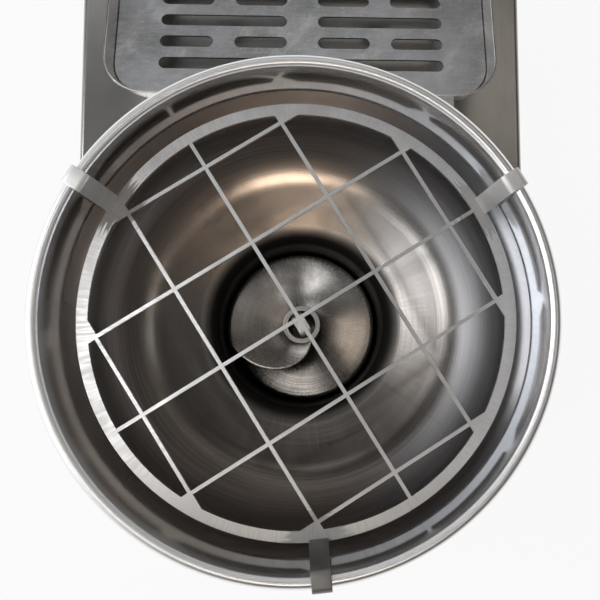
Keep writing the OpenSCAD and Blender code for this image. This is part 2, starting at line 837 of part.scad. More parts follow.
module guard_hooks() {
    color("lightgray") at_axis() for (a = hook_angles) rotate(a)
        translate([0, strap_w / 2, 0]) rotate([90, 0, 0])
            linear_extrude(strap_w) polygon(strip(hook_path, strap_t));
}

// Auger: a helical flight whose leading edge sweeps back from the hub to the rim
flight_turns = (tip_z - flight_t - floor_top - flight_clear) / pitch;
flight_span = 360 * flight_turns;
turn_step = 10;
flight_n = ceil(flight_span / turn_step);
flight_rings = 8;
weld_r = (hub_r + fit_gap) / cos(turn_step);

function flight_point(i, j, side) =
    let (f = j / flight_rings, r = weld_r + (auger_r - weld_r) * f)
    let (start = edge_sweep * f, down = start + (flight_span - start) * i / flight_n)
    let (a = tip_angle - down)
    [r * cos(a), r * sin(a), tip_z - pitch * down / 360 - flight_t * side];
flight_row = flight_rings + 1;
flight_face = flight_row * (flight_n + 1);
function flight_id(i, j, side) = side * flight_face + i * flight_row + j;
function quad(a, b, c, d) = [[a, b, c], [a, c, d]];
flight_points = [for (side = [0, 1], i = [0:flight_n], j = [0:flight_rings]) flight_point(i, j, side)];
flight_faces = [
    for (i = [0:flight_n - 1], j = [0:flight_rings - 1]) each
        quad(flight_id(i, j, 0), flight_id(i, j + 1, 0), flight_id(i + 1, j + 1, 0), flight_id(i + 1, j, 0)),
    for (i = [0:flight_n - 1], j = [0:flight_rings - 1]) each
        quad(flight_id(i, j, 1), flight_id(i + 1, j, 1), flight_id(i + 1, j + 1, 1), flight_id(i, j + 1, 1)),
    for (i = [0:flight_n - 1]) each
        quad(flight_id(i, 0, 0), flight_id(i + 1, 0, 0), flight_id(i + 1, 0, 1), flight_id(i, 0, 1)),
    for (i = [0:flight_n - 1]) each quad(flight_id(i, flight_rings, 0), flight_id(i, flight_rings, 1),
        flight_id(i + 1, flight_rings, 1), flight_id(i + 1, flight_rings, 0)),
    for (j = [0:flight_rings - 1]) each
        quad(flight_id(0, j, 0), flight_id(0, j, 1), flight_id(0, j + 1, 1), flight_id(0, j + 1, 0)),
    for (j = [0:flight_rings - 1]) each quad(flight_id(flight_n, j, 0), flight_id(flight_n, j + 1, 0),
        flight_id(flight_n, j + 1, 1), flight_id(flight_n, j, 1))];

module auger_flight() {
    color("silver") at_axis() polyhedron(flight_points, flight_faces, convexity = 10);
}

pin_z = hub_z + pin_d;
pin_slot_r = pin_d / 2 + loose_gap;

module auger_hub() {
    color("silver") at_axis() difference() {
        translate([0, 0, hub_z]) cylinder(r = hub_r, h = hub_top - hub_z);
        translate([0, 0, hub_z - over]) cylinder(r = socket_r, h = hub_top - hub_z + 2 * over);
        translate([-2 * hub_r, -pin_slot_r, hub_z - over])
            cube([4 * hub_r, 2 * pin_slot_r, pin_z - hub_z + over]);
        translate([-2 * hub_r, 0, pin_z]) rotate([0, 90, 0]) cylinder(r = pin_slot_r, h = 4 * hub_r);
    }
}

lift_leg = 12;
lift_rise = 1;
lift_r = socket_r - lift_bar_t / 2 - fit_gap;
lift_bend = 0.7;
lift_bend_r = lift_bend * lift_r;
lift_low = hub_top - lift_leg;
lift_high = hub_top + lift_rise;
lift_path = bent([[-lift_r, lift_low], [-lift_r, lift_high], [lift_r, lift_high], [lift_r, lift_low]],
                 [lift_bend_r, lift_bend_r]);

module lift_bar() {
    color("silver") at_axis() intersection() {
        rotate(lift_bar_turn) translate([0, lift_bar_w / 2, 0]) rotate([90, 0, 0])
            linear_extrude(lift_bar_w) polygon(strip(lift_path, lift_bar_t));
        cylinder(r = socket_r - fit_gap, h = rim_z);
    }
}

// Drive shaft with its pin, key and worm wheel
bearing_seat = 13;
bearing_z = base_top + bearing_seat;
shaft_z = bearing_z + over;
key_w = 8;
key_h = 7;
key_sunk = 4;

module key_block(gap) {
    translate([-shaft_r - key_h + key_sunk - gap, -key_w / 2 - gap, gear_mid_z - wheel_w / 2 - gap])
        cube([key_h + 2 * gap, key_w + 2 * gap, wheel_w + 2 * gap]);
}

module drive_shaft() {
    top = hub_z + hub_socket;
    color("silver") at_axis() difference() {
        translate([0, 0, shaft_z]) cylinder(r = shaft_r, h = top - shaft_z);
        translate([-2 * hub_r, 0, pin_z]) rotate([0, 90, 0]) cylinder(r = pin_d / 2 + fit_gap, h = 4 * hub_r);
        key_block(fit_gap);
    }
}

module drive_pin() {
    half = hub_r - loose_gap;
    color("gray") at_axis() translate([-half, 0, pin_z]) rotate([0, 90, 0]) cylinder(d = pin_d, h = 2 * half);
}

module wheel_key() {
    color("gray") at_axis() key_block(0);
}

// Teeth and ridges end just short of the pitch line that they share
mesh_gap = 0.2;
tooth_tip = wheel_r - mesh_gap;
tooth_root = wheel_r - 2 * tooth_m;
gap_end = tooth_tip + over;
root_share = 0.22;
tip_share = 0.45;
gap_root = root_share * tooth_step;
gap_tip = tip_share * tooth_step;

module worm_wheel() {
    color("goldenrod") at_axis() translate([0, 0, gear_mid_z - wheel_w / 2]) difference() {
        cylinder(r = tooth_tip, h = wheel_w);
        translate([0, 0, -over]) cylinder(r = shaft_r + fit_gap, h = wheel_w + 2 * over);
        for (k = [0:wheel_teeth - 1]) rotate(360 * k / wheel_teeth) translate([0, 0, -over])
            linear_extrude(wheel_w + 2 * over)
                polygon([[tooth_root, -gap_root], [gap_end, -gap_tip],
                         [gap_end, gap_tip], [tooth_root, gap_root]]);
        translate([0, 0, -gear_mid_z + wheel_w / 2]) key_block(fit_gap);
    }
}

ridge_n = 3;
worm_tip = worm_d / 2 - mesh_gap;
ridge_h = 1.6;
foot_share = 0.29;
crest_share = 0.11;
worm_root = worm_d / 2 - ridge_h * tooth_m;

module worm_shaft() {
    y0 = -gear_in_y - worm_bearing_w + over;
    y1 = fan_y + fan_t;
    reach = ridge_n * tooth_step + tooth_step / 2;
    foot = foot_share * tooth_step;
    crest = crest_share * tooth_step;
    color("gray") at_axis() translate([worm_x, 0, gear_mid_z]) rotate([-90, 0, 0]) {
        translate([0, 0, y0]) cylinder(d = worm_shaft_d, h = y1 - y0);
        translate([0, 0, -reach]) cylinder(r = worm_root, h = 2 * reach);
        for (k = [-ridge_n:ridge_n]) translate([0, 0, k * tooth_step]) rotate_extrude()
            polygon([[worm_root - over, -foot], [worm_tip, -crest],
                     [worm_tip, crest], [worm_root - over, foot]]);
    }
}

module worm_bearings() {
    for_y = [-gear_in_y - worm_bearing_w, gear_in_y];
    color("lightgray") at_axis() for (y = for_y) difference() {
        rod_y(worm_x, y, gear_mid_z, worm_bearing_od / 2, worm_bearing_w);
        rod_y(worm_x, y - over, gear_mid_z, worm_shaft_d / 2 + fit_gap, worm_bearing_w + 2 * over);
    }
}

module shaft_seal() {
    color("dimgray") at_axis() translate([0, 0, floor_top - seal_w]) ring(seal_r, shaft_r + fit_gap, seal_w);
}

seal_wall = 8;
seal_r = shaft_r + seal_wall;
seal_w = 8;
house_rim = 8;
bore_gap = 2;

// Bearing housing between the gearbox cover and the barrel's floor
module bearing_housing() {
    color("darkgray") at_axis() difference() {
        union() {
            translate([0, 0, cover_top]) cylinder(r = house_flange_r, h = house_rim);
            translate([0, 0, cover_top]) cylinder(r = spigot_in_r, h = floor_top - cover_top);
            translate([0, 0, floor_z - house_rim]) cylinder(r = house_flange_r, h = house_rim);
        }
        translate([0, 0, cover_top - over]) cylinder(r = bearing_od / 2 + fit_gap, h = bearing_w + over);
        translate([0, 0, cover_top]) cylinder(r = shaft_r + bore_gap, h = bearing_house_h + 2 * flange_t);
        translate([0, 0, floor_top - seal_w]) cylinder(r = seal_r + fit_gap, h = seal_w + over);
        translate([0, 0, cover_top - over]) around(4, house_bolt_r, 45)
            cylinder(r = house_bolt_d / 2 + fit_gap, h = bearing_house_h + 2 * over);
    }
}

// Screws through the barrel's floor into the bearing housing, and up from the gearbox cover
module housing_bolts() {
    color("silver") at_axis() around(4, house_bolt_r, 45) {
        translate([0, 0, floor_top]) screw(house_bolt_d, flange_t + house_rim);
        translate([0, 0, cover_top + house_rim]) bolt(house_bolt_d, house_rim + cover_t - over);
    }
}

module upper_bearing() {
    color("lightgray") at_axis() translate([0, 0, cover_top])
        ring(bearing_od / 2, shaft_r + fit_gap, bearing_w);
}

module lower_bearing() {
    color("lightgray") at_axis() translate([0, 0, bearing_z])
        ring(bearing_od / 2, shaft_r + fit_gap, bearing_w);
}

module gearbox_bolt_places() {
    for (x = [gear_x0 + gear_bolt_x, gear_x1 - gear_bolt_x], y = [-1, 1])
        translate([x, y * (gear_half_y - gear_bolt_y), 0]) children();
}

module motor_bolt_places() {
    for (a = [45:90:315])
        translate([worm_x + motor_bolt_r * cos(a), motor_y, gear_mid_z + motor_bolt_r * sin(a)]) children();
}

module gearbox_housing() {
    bolt_r = stud_d / 2 + fit_gap;
    cast_gap = 4;
    worm_seat_r = worm_bearing_od / 2 + fit_gap;
    thread_r = house_bolt_d / 2 + fit_gap;
    color("slategray") at_axis() difference() {
        translate([gear_x0, -gear_half_y, base_top]) cube([gear_x1 - gear_x0, 2 * gear_half_y, gear_h]);
        translate([0, 0, gear_mid_z - wheel_w / 2 - cast_gap]) cylinder(r = tooth_tip + cast_gap, h = gear_h);
        translate([worm_x - worm_pocket_r, -gear_in_y, gear_mid_z - worm_pocket_r])
            cube([2 * worm_pocket_r, 2 * gear_in_y, gear_h]);
        rod_y(worm_x, -gear_in_y - worm_bearing_w, gear_mid_z, worm_seat_r, worm_bearing_w + over);
        rod_y(worm_x, gear_in_y - over, gear_mid_z, worm_seat_r, gear_half_y);
        translate([0, 0, bearing_z]) cylinder(r = bearing_od / 2 + fit_gap, h = gear_h / 2);
        gearbox_bolt_places() translate([0, 0, base_top - over])
            cylinder(r = bolt_r, h = gear_thread + 2 * over);
        gearbox_bolt_places() translate([0, 0, gear_top - gear_thread - over])
            cylinder(r = bolt_r, h = gear_thread + 2 * over);
        motor_bolt_places() rod_y(0, -motor_thread - over, 0, thread_r, motor_thread + 2 * over);
    }
}

module gearbox_cover() {
    color("slategray") at_axis() translate([0, 0, gear_top]) difference() {
        translate([gear_x0, -gear_half_y, 0]) cube([gear_x1 - gear_x0, 2 * gear_half_y, cover_t]);
        translate([0, 0, -over]) cylinder(r = shaft_r + bore_gap, h = cover_t + 2 * over);
        gearbox_bolt_places() translate([0, 0, -over])
            cylinder(r = stud_d / 2 + fit_gap, h = cover_t + 2 * over);
        translate([0, 0, over]) around(4, house_bolt_r, 45)
            cylinder(r = house_bolt_d / 2 + fit_gap, h = cover_t);
    }
}

// Bolts that hold the gearbox to the base plate, and the cover to the gearbox
module gearbox_bolts() {
    color("silver") at_axis() gearbox_bolt_places() {
        translate([0, 0, foot_h]) rotate([180, 0, 0]) bolt(stud_d, base_t + gear_thread);
        translate([0, 0, cover_top]) bolt(stud_d, cover_t + gear_thread);
    }
}

// Motor
module motor_frame() {
    color("slategray") at_axis() difference() {
        union() {
            rod_y(worm_x, motor_y, gear_mid_z, motor_d / 2, motor_flange_t);
            rod_y(worm_x, motor_y, gear_mid_z, motor_r, motor_flange_t + motor_l);
        }
        rod_y(worm_x, motor_y + motor_flange_t, gear_mid_z, motor_r - motor_wall, motor_l + over);
        rod_y(worm_x, motor_y - over, gear_mid_z, worm_shaft_d / 2 + bore_gap, motor_flange_t + 2 * over);
        motor_bolt_places() rod_y(0, -over, 0, house_bolt_d / 2 + fit_gap, motor_flange_t + 2 * over);
    }
}

module motor_bolts() {
    color("silver") at_axis() motor_bolt_places() translate([0, motor_flange_t, 0]) rotate([-90, 0, 0])
        bolt(house_bolt_d, motor_flange_t + motor_thread);
}

module motor_stator() {
    color("sienna") at_axis() difference() {
        rod_y(worm_x, core_y, gear_mid_z, motor_r - motor_wall - fit_gap, core_l);
        rod_y(worm_x, core_y - over, gear_mid_z, rotor_r + air_gap, core_l + 2 * over);
    }
}

module motor_rotor() {
    color("darkgray") at_axis() difference() {
        rod_y(worm_x, core_y, gear_mid_z, rotor_r, core_l);
        rod_y(worm_x, core_y - over, gear_mid_z, worm_shaft_d / 2 + fit_gap, core_l + 2 * over);
    }
}

module motor_end_shield() {
    color("slategray") at_axis() difference() {
        rod_y(worm_x, motor_back, gear_mid_z, motor_r, shield_t);
        rod_y(worm_x, motor_back - over, gear_mid_z, worm_shaft_d / 2 + fit_gap, shield_t + 2 * over);
    }
}

module motor_fan() {
    blade_r = motor_r - motor_wall;
    disc_t = 3;
    blade_t = 2;
    color("dimgray") at_axis() translate([worm_x, fan_y, gear_mid_z]) rotate([-90, 0, 0]) difference() {
        union() {
            cylinder(r = worm_shaft_d, h = fan_t);
            cylinder(r = blade_r, h = disc_t);
            for (a = [0:45:315]) rotate(a) translate([worm_shaft_d - over, -blade_t / 2, 0])
                cube([blade_r - worm_shaft_d, blade_t, fan_t]);
        }
        translate([0, 0, -over]) cylinder(r = worm_shaft_d / 2 + fit_gap, h = fan_t + 2 * over);
    }
}

cowl_hole_d = 13.5;
cowl_hole_in = 18;
cowl_hole_r = motor_r - cowl_hole_in;

module fan_cowl() {
    y0 = motor_back + shield_t;
    color("dimgray") at_axis() difference() {
        rod_y(worm_x, y0, gear_mid_z, motor_r, cowl_back - y0);
        rod_y(worm_x, y0 - over, gear_mid_z, motor_r - sheet, cowl_back - y0 - sheet + over);
        for (a = [0:45:315]) translate([worm_x + cowl_hole_r * cos(a), 0, gear_mid_z + cowl_hole_r * sin(a)])
            rod_y(0, cowl_back - 2 * sheet, 0, cowl_hole_d / 2, 4 * sheet);
    }
}

// Control box on the base plate
box_w = 120;
box_l = 170;
box_h = 85;
box_inset = 24;
box_x = box_inset - house_w / 2;
box_y = 150;

module control_box() {
    color("gray") at_axis() translate([box_x, box_y, base_top]) difference() {
        cube([box_w, box_l, box_h]);
        translate([sheet, sheet, sheet]) cube([box_w - 2 * sheet, box_l - 2 * sheet, box_h]);
    }
}

module control_box_lid() {
    color("lightgray") at_axis() translate([box_x, box_y, base_top + box_h]) cube([box_w, box_l, sheet]);
}

// Controls on the front wall
control_z = base_top + button_z;
button_xs = [control_x, control_x + button_pitch];
bezel_r = button_d / 2;
bezel_t = 4;
bezel_l = 20;
bezel_lip = 4;
stem_d = 12;
stem_r = stem_d / 2;
spindle_r = 3;
cap_t = 5;
block_w = 32;
block_l = 30;
skirt_t = 6;
mark_w = 2;
spindle_l = 9;
regulator_r = 14;
wall_in = -house_front + sheet;

module button_bezels() {
    color("silver") at_axis() for (x = button_xs) difference() {
        union() {
            rod_y(x, -house_front - bezel_t, control_z, bezel_r + bezel_lip, bezel_t);
            rod_y(x, -house_front - eps, control_z, bezel_r, sheet + bezel_l);
        }
        rod_y(x, -house_front - bezel_t - over, control_z, stem_r + fit_gap, 2 * bezel_l + bezel_t);
    }
}

module switch_blocks() {
    color("dimgray") at_axis() for (x = button_xs)
        translate([x - block_w / 2, wall_in + bezel_l, control_z - block_w / 2]) difference() {
            cube([block_w, block_l, block_w]);
            rod_y(block_w / 2, -over, block_w / 2, stem_r + hole_gap, button_travel + 3 * over);
        }
}

module push_button(x) {
    y0 = -house_front - bezel_t - button_travel - hole_gap - cap_t;
    rod_y(x, y0, control_z, bezel_r - loose_gap, cap_t);
    rod_y(x, y0 + cap_t - eps, control_z, stem_r, wall_in + bezel_l + over - y0 - cap_t);
}

module start_button() {
    color("green") at_axis() push_button(button_xs[0]);
}

module stop_button() {
    color("red") at_axis() push_button(button_xs[1]);
}

module speed_knob() {
    y0 = -house_front - hole_gap - knob_l;
    color("black") at_axis() difference() {
        union() {
            rod_y(-control_x, y0, control_z, knob_d / 2 - skirt_t / 2, knob_l);
            rod_y(-control_x, y0 + knob_l - skirt_t, control_z, knob_d / 2, skirt_t);
            rod_y(-control_x, y0 + knob_l - over, control_z, spindle_r, over + hole_gap + sheet + spindle_l);
        }
        translate([-control_x - mark_w / 2, y0 - over, control_z]) cube([mark_w, mark_w + over, knob_d / 2]);
    }
}

module speed_regulator() {
    color("dimgray") at_axis() difference() {
        rod_y(-control_x, wall_in, control_z, regulator_r, 2 * spindle_l);
        rod_y(-control_x, wall_in - over, control_z, spindle_r + fit_gap, spindle_l + 2 * over);
    }
}

feet();
foot_studs();
base_plate();
base_screws();
housing_shell();
rear_panel();
rear_screws();
cable_gland();
plinth();
tray_pan();
slotted_plate();
barrel();
barrel_floor();
floor_bolts();
flange_gasket();
flange_bolts();
outlet_pipe();
outlet_grommet();
nozzle();
nozzle_bolts();
bowl_collar();
hopper_bowl();
rim_wire();
guard_grid();
guard_hooks();
auger_flight();
auger_hub();
lift_bar();
drive_shaft();
drive_pin();
wheel_key();
worm_wheel();
shaft_seal();
bearing_housing();
housing_bolts();
upper_bearing();
lower_bearing();
gearbox_housing();
gearbox_cover();
gearbox_bolts();
worm_shaft();
worm_bearings();
motor_frame();
motor_bolts();
motor_stator();
motor_rotor();
motor_end_shield();
motor_fan();
fan_cowl();
control_box();
control_box_lid();
button_bezels();
switch_blocks();
start_button();
stop_button();
speed_knob();
speed_regulator();
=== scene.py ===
# %% [markdown]
# # An auger-fed hopper machine, dressed in Blender
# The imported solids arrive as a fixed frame. They stay where they are: this lesson gives each of them its
# finish, and models again the few pieces whose rolled, bent or twisted sheet shows best as a smooth mesh.

# %% Load the frame
import json
import math

import bpy
from mathutils import Matrix, Vector


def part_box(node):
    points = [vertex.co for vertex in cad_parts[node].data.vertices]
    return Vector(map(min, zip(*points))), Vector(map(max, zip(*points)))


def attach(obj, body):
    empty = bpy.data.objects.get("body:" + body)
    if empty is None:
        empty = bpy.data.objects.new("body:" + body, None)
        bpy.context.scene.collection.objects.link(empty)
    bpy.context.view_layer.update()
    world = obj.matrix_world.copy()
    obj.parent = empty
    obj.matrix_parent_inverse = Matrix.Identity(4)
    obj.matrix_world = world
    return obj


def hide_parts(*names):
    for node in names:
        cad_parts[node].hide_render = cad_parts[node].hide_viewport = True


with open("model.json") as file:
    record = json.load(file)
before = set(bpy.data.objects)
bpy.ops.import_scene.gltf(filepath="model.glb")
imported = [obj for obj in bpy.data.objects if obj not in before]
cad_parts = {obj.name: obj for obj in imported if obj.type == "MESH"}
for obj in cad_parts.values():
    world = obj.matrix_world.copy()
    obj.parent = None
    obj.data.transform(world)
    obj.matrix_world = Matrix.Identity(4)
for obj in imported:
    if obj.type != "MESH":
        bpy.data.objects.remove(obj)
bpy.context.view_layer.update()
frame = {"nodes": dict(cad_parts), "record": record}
nodes = frame["nodes"]

# %% [markdown]
# ## Main lines of the machine
# Nearly everything in view stands round one upright line, the auger's axis. The hopper's box gives that
# line, the rim's radius and its height, and the guard's box gives the ring. Sizes are in metres, as in the
# frame.

# %% Places read from the frame
MM = 0.001
bowl_low, bowl_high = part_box("hopper_bowl")
guard_low, guard_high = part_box("guard_grid")
AXIS = Vector((0.0, (bowl_low.y + bowl_high.y) / 2, 0.0))
RIM_R = (bowl_high.x - bowl_low.x) / 2
RIM_Z = bowl_high.z
RIM_CENTRE = AXIS + Vector((0, 0, RIM_Z))
COLLAR_Z = bowl_low.z
GUARD_Z = guard_high.z
RING_R = (guard_high.x - guard_low.x) / 2
print("axis at y", round(AXIS.y, 4), "rim radius", round(RIM_R, 4), "rim height", round(RIM_Z, 4))

# %% [markdown]
# ## Camera
# The picture looks almost straight down, from a little in front of the hopper's middle. The camera's three
# axes are worked out from where it stands, the direction that it looks along and the direction of the
# picture's right edge. The lens shift keeps the off-centre framing.

# %% Camera
IMAGE = 600
SENSOR = 36.0
FOCAL_PX = 800.5
CENTRE_PX = (355.0, 294.6)
CAMERA_OFF = Vector((0.01504, -0.03780, 0.59358))
LOOK = Vector((0.046474, 0.088286, -0.995010))
RIGHT = Vector((0.998920, -0.004063, 0.046296))

camera_data = bpy.data.cameras.new("view")
camera_data.sensor_fit = "HORIZONTAL"
camera_data.sensor_width = SENSOR
camera_data.lens = FOCAL_PX / IMAGE * SENSOR
camera_data.shift_x = 0.5 - CENTRE_PX[0] / IMAGE
camera_data.shift_y = CENTRE_PX[1] / IMAGE - 0.5
camera = bpy.data.objects.new("view", camera_data)
camera_turn = Matrix((RIGHT, RIGHT.cross(LOOK), -LOOK)).transposed().to_4x4()
camera.matrix_world = Matrix.Translation(RIM_CENTRE + CAMERA_OFF) @ camera_turn
bpy.context.scene.collection.objects.link(camera)
bpy.context.scene.camera = camera
print("camera", [round(v, 3) for v in camera.location], "lens", round(camera_data.lens, 2))

# %% [markdown]
# ## Selecting and finishing
# Modelling by hand always repeats a few moves: select nothing, go into edit mode, pick some corners, finish
# with modifiers. These helpers hold those moves, so that each piece below reads as a list of steps.

# %% Moves on a piece
def clear_selection():
    if bpy.context.object and bpy.context.object.mode != "OBJECT":
        bpy.ops.object.mode_set(mode="OBJECT")
    bpy.ops.object.select_all(action="DESELECT")


def make_active(piece):
    clear_selection()
    piece.select_set(True)
    bpy.context.view_layer.objects.active = piece


def edit(piece):
    make_active(piece)
    bpy.ops.object.mode_set(mode="EDIT")
    bpy.context.tool_settings.mesh_select_mode = (True, False, False)
    bpy.ops.mesh.select_all(action="SELECT")


def select_where(piece, wanted):
    """In edit mode, selects the vertices whose place passes the test."""
    bpy.ops.object.mode_set(mode="OBJECT")
    for vertex in piece.data.vertices:
        vertex.select = wanted(vertex.co)
    for edge in piece.data.edges:
        edge.select = all(piece.data.vertices[i].select for i in edge.vertices)
    for face in piece.data.polygons:
        face.select = all(piece.data.vertices[i].select for i in face.vertices)
    bpy.ops.object.mode_set(mode="EDIT")


def modify(piece, kind, **settings):
    """Adds one modifier with its settings and applies it."""
    make_active(piece)
    bpy.ops.object.modifier_add(type=kind)
    modifier = piece.modifiers[-1]
    for name, value in settings.items():
        setattr(modifier, name, value)
    bpy.ops.object.modifier_apply(modifier=modifier.name)


def settle(piece):
    """Puts the piece's place and turn into its mesh."""
    make_active(piece)
    bpy.ops.object.transform_apply(location=True, rotation=True, scale=True)


def smooth(piece, degrees):
    make_active(piece)
    bpy.ops.object.shade_smooth_by_angle(angle=math.radians(degrees))


def stands_for(piece, body, slot, *replaced):
    """Hands a finished piece over: the body that it rides on, its slot, which is not used, and the nodes that
    it replaces.
    """
    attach(piece, body)
    if replaced:
        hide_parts(*replaced)
    print(piece.name, "has", len(piece.data.polygons), "faces and rides on", body)


print("moves ready: select, edit, modify, settle, smooth and hand over")

# %% [markdown]
# ## Drawing a section
# Spun and bent sheet starts as a line: the section of the bowl, the side of a hook, the edge of the flight.
# The line is extruded step by step from a plane that was merged to one point. Sheet has no sharp bends, so
# a second helper rounds the corners of a path first.

# %% Lines and rounded paths
MERGE = 1e-6


def draw_line(name, points):
    """A new piece that is one line of edges through the points."""
    clear_selection()
    bpy.ops.mesh.primitive_plane_add(size=MM)
    piece = bpy.context.object
    piece.name = name
    edit(piece)
    bpy.ops.mesh.merge(type="CENTER")
    bpy.ops.transform.translate(value=points[0])
    for start, end in zip(points, points[1:]):
        step = Vector(end) - Vector(start)
        bpy.ops.mesh.extrude_region_move(TRANSFORM_OT_translate={"value": step})
    bpy.ops.object.mode_set(mode="OBJECT")
    return piece


def rounded(corners, radii, steps):
    """Points along a path in the radius and height plane, with its inner corners rounded to arcs."""
    points = [Vector(corners[0])]
    for before, here, after, radius in zip(corners, corners[1:], corners[2:], radii):
        here = Vector(here)
        back = (Vector(before) - here).normalized()
        on = (Vector(after) - here).normalized()
        half = back.angle(on) / 2
        middle = here + (back + on).normalized() * radius / math.sin(half)
        first = here + back * radius / math.tan(half) - middle
        last = here + on * radius / math.tan(half) - middle
        sweep = first.angle_signed(last)
        for k in range(steps + 1):
            points.append(middle + Matrix.Rotation(-sweep * k / steps, 2) @ first)
    points.append(Vector(corners[-1]))
    return points


def upright(points):
    """Points of the radius and height plane, set up along X and Z."""
    return [(p.x, 0.0, p.y) for p in points]


print("a corner rounded in 4 steps has", len(rounded([(0, 0), (1, 0), (1, 1)], [0.5], 4)), "points")

# %% [markdown]
# ## Wiring patterns
# A pattern is a chain of shader nodes. It could be wired by hand in the node editor, but the same few moves
# come back all the time, so this class holds them: each call adds one node, links or sets its sockets and
# returns its output. A whole finish then reads as a recipe.

# %% Patterns
class Patterns:
    """Adds nodes to one node tree."""

    def __init__(self, tree):
        self.tree = tree

    def join(self, value, socket):
        """Links a pattern to a socket, or sets the socket to a plain value."""
        if isinstance(value, bpy.types.NodeSocket):
            self.tree.links.new(value, socket)
        else:
            socket.default_value = value

    def add(self, kind, inputs, output=0, **settings):
        node = self.tree.nodes.new(kind)
        for name, value in settings.items():
            setattr(node, name, value)
        for key, value in inputs.items():
            self.join(value, node.inputs[key])
        return node.outputs[output]

    def math(self, operation, a, b=0.0, c=0.0):
        return self.add("ShaderNodeMath", {0: a, 1: b, 2: c}, operation=operation)

    def along(self, vector, axis):
        """One coordinate of a place or a direction."""
        return self.add("ShaderNodeSeparateXYZ", {0: vector}, axis)

    def stretch(self, vector, scale):
        return self.add("ShaderNodeVectorMath", {0: vector, 1: scale}, operation="MULTIPLY")

    def noise(self, vector, scale=1.0, detail=2.0, rough=0.5):
        inputs = {"Vector": vector, "Scale": scale, "Detail": detail, "Roughness": rough}
        return self.add("ShaderNodeTexNoise", inputs, "Fac")

    def span(self, value, low, high, to_low=0.0, to_high=1.0, kind="SMOOTHSTEP"):
        """Maps the stretch from low to high onto to_low to to_high."""
        inputs = {"Value": value, "From Min": low, "From Max": high, "To Min": to_low, "To Max": to_high}
        return self.add("ShaderNodeMapRange", inputs, interpolation_type=kind)

    def mix(self, share, first, second):
        """Goes from the first tone to the second one. The node keeps them in its sockets 6 and 7."""
        tones = [t if isinstance(t, bpy.types.NodeSocket) else (*t, 1) for t in (first, second)]
        return self.add("ShaderNodeMix", {0: share, 6: tones[0], 7: tones[1]}, 2, data_type="RGBA")


print("patterns ready")

# %% [markdown]
# ## One finish
# A finish is a Principled shader with patterns behind its colour and gloss, and mostly behind its bump too.
# Turned and spun steel also needs patterns that run round the axis or straight out from it. They are made
# by bending the coordinates before the noise reads them, because noise alone has no direction.

# %% Finish
class Finish(Patterns):
    """A material with patterns on its Principled shader."""

    def __init__(self, name, metallic, roughness):
        self.material = bpy.data.materials.new(name)
        self.material.use_nodes = True
        super().__init__(self.material.node_tree)
        self.shader = self.tree.nodes["Principled BSDF"]
        self.set("Metallic", metallic)
        self.set("Roughness", roughness)

    def set(self, socket, value):
        self.join(value, self.shader.inputs[socket])

    def place(self, centre=(0, 0, 0), turn=0.0):
        """Object coordinates counted from a centre, turned about Z."""
        here = self.add("ShaderNodeTexCoord", {}, "Object")
        moved = self.add("ShaderNodeVectorMath", {0: here, 1: tuple(centre)}, operation="SUBTRACT")
        return self.add("ShaderNodeMapping", {"Vector": moved, "Rotation": (0, 0, turn)})

    def radius(self, vector):
        flat = self.stretch(vector, (1, 1, 0))
        return self.add("ShaderNodeVectorMath", {0: flat}, 1, operation="LENGTH")

    def ring_lines(self, vector, around, out):
        """Coordinates that change slowly round the centre and quickly away from it."""
        x = self.math("MULTIPLY", self.along(vector, "X"), around)
        y = self.math("MULTIPLY", self.along(vector, "Y"), around)
        r = self.math("MULTIPLY", self.radius(vector), out)
        return self.add("ShaderNodeCombineXYZ", {0: x, 1: y, 2: r})

    def spoke_lines(self, vector, around, out):
        """Coordinates that change quickly round the centre and slowly away from it."""
        flat = self.stretch(vector, (1, 1, 0))
        unit = self.add("ShaderNodeVectorMath", {0: flat}, operation="NORMALIZE")
        wide = self.stretch(unit, (around, around, 0))
        lift = self.add("ShaderNodeCombineXYZ", {2: self.math("MULTIPLY", self.radius(vector), out)})
        return self.add("ShaderNodeVectorMath", {0: wide, 1: lift}, operation="ADD")

    def bump(self, height, depth, strength):
        inputs = {"Height": height, "Distance": depth, "Strength": strength}
        self.set("Normal", self.add("ShaderNodeBump", inputs))

    def brushed_round(self, amount):
        self.set("Anisotropic", amount)
        self.set("Tangent", self.add("ShaderNodeTangent", {}, direction_type="RADIAL", axis="Z"))

    def tell(self):
        print("finish", self.material.name, "has", len(self.tree.nodes), "nodes")


def wear(piece, *finishes):
    """Gives a piece its finishes, one for each material place."""
    piece.data.materials.clear()
    for finish in finishes:
        piece.data.materials.append(finish.material)


print("finish recipes ready")

# %% [markdown]
# ## Floor
# The floor is plain and white. A bright floor could be had with stronger lamps, but they would bleach the
# steel. So the camera and the mirrors see mostly a glow of its own, and the small rest of it is a plain
# surface that shows a faint shadow.

# %% Floor
FLOOR_SIZE = 14.0
FLOOR_TONE = (0.88, 0.88, 0.88, 1)
FLOOR_GLOW = 0.92

clear_selection()
bpy.ops.mesh.primitive_grid_add(x_subdivisions=4, y_subdivisions=4, size=FLOOR_SIZE, location=(0, 0, -MM))
floor = bpy.context.object
floor.name = "floor"

floor_white = Finish("floor_white", 0.0, 0.7)
floor_white.set("Base Color", FLOOR_TONE)
floor_white.set("Specular IOR Level", 0.1)
path = floor_white.tree.nodes.new("ShaderNodeLightPath").outputs
seen = floor_white.math("MAXIMUM", path["Is Camera Ray"], path["Is Glossy Ray"])
seen = floor_white.math("MAXIMUM", seen, path["Is Transmission Ray"])
share = floor_white.math("MULTIPLY", seen, FLOOR_GLOW)
glow = floor_white.add("ShaderNodeEmission", {"Strength": 1.0})
both = floor_white.add("ShaderNodeMixShader", {0: share, 1: floor_white.shader.outputs[0], 2: glow})
floor_white.join(both, floor_white.tree.nodes["Material Output"].inputs["Surface"])
wear(floor, floor_white)
floor_white.tell()

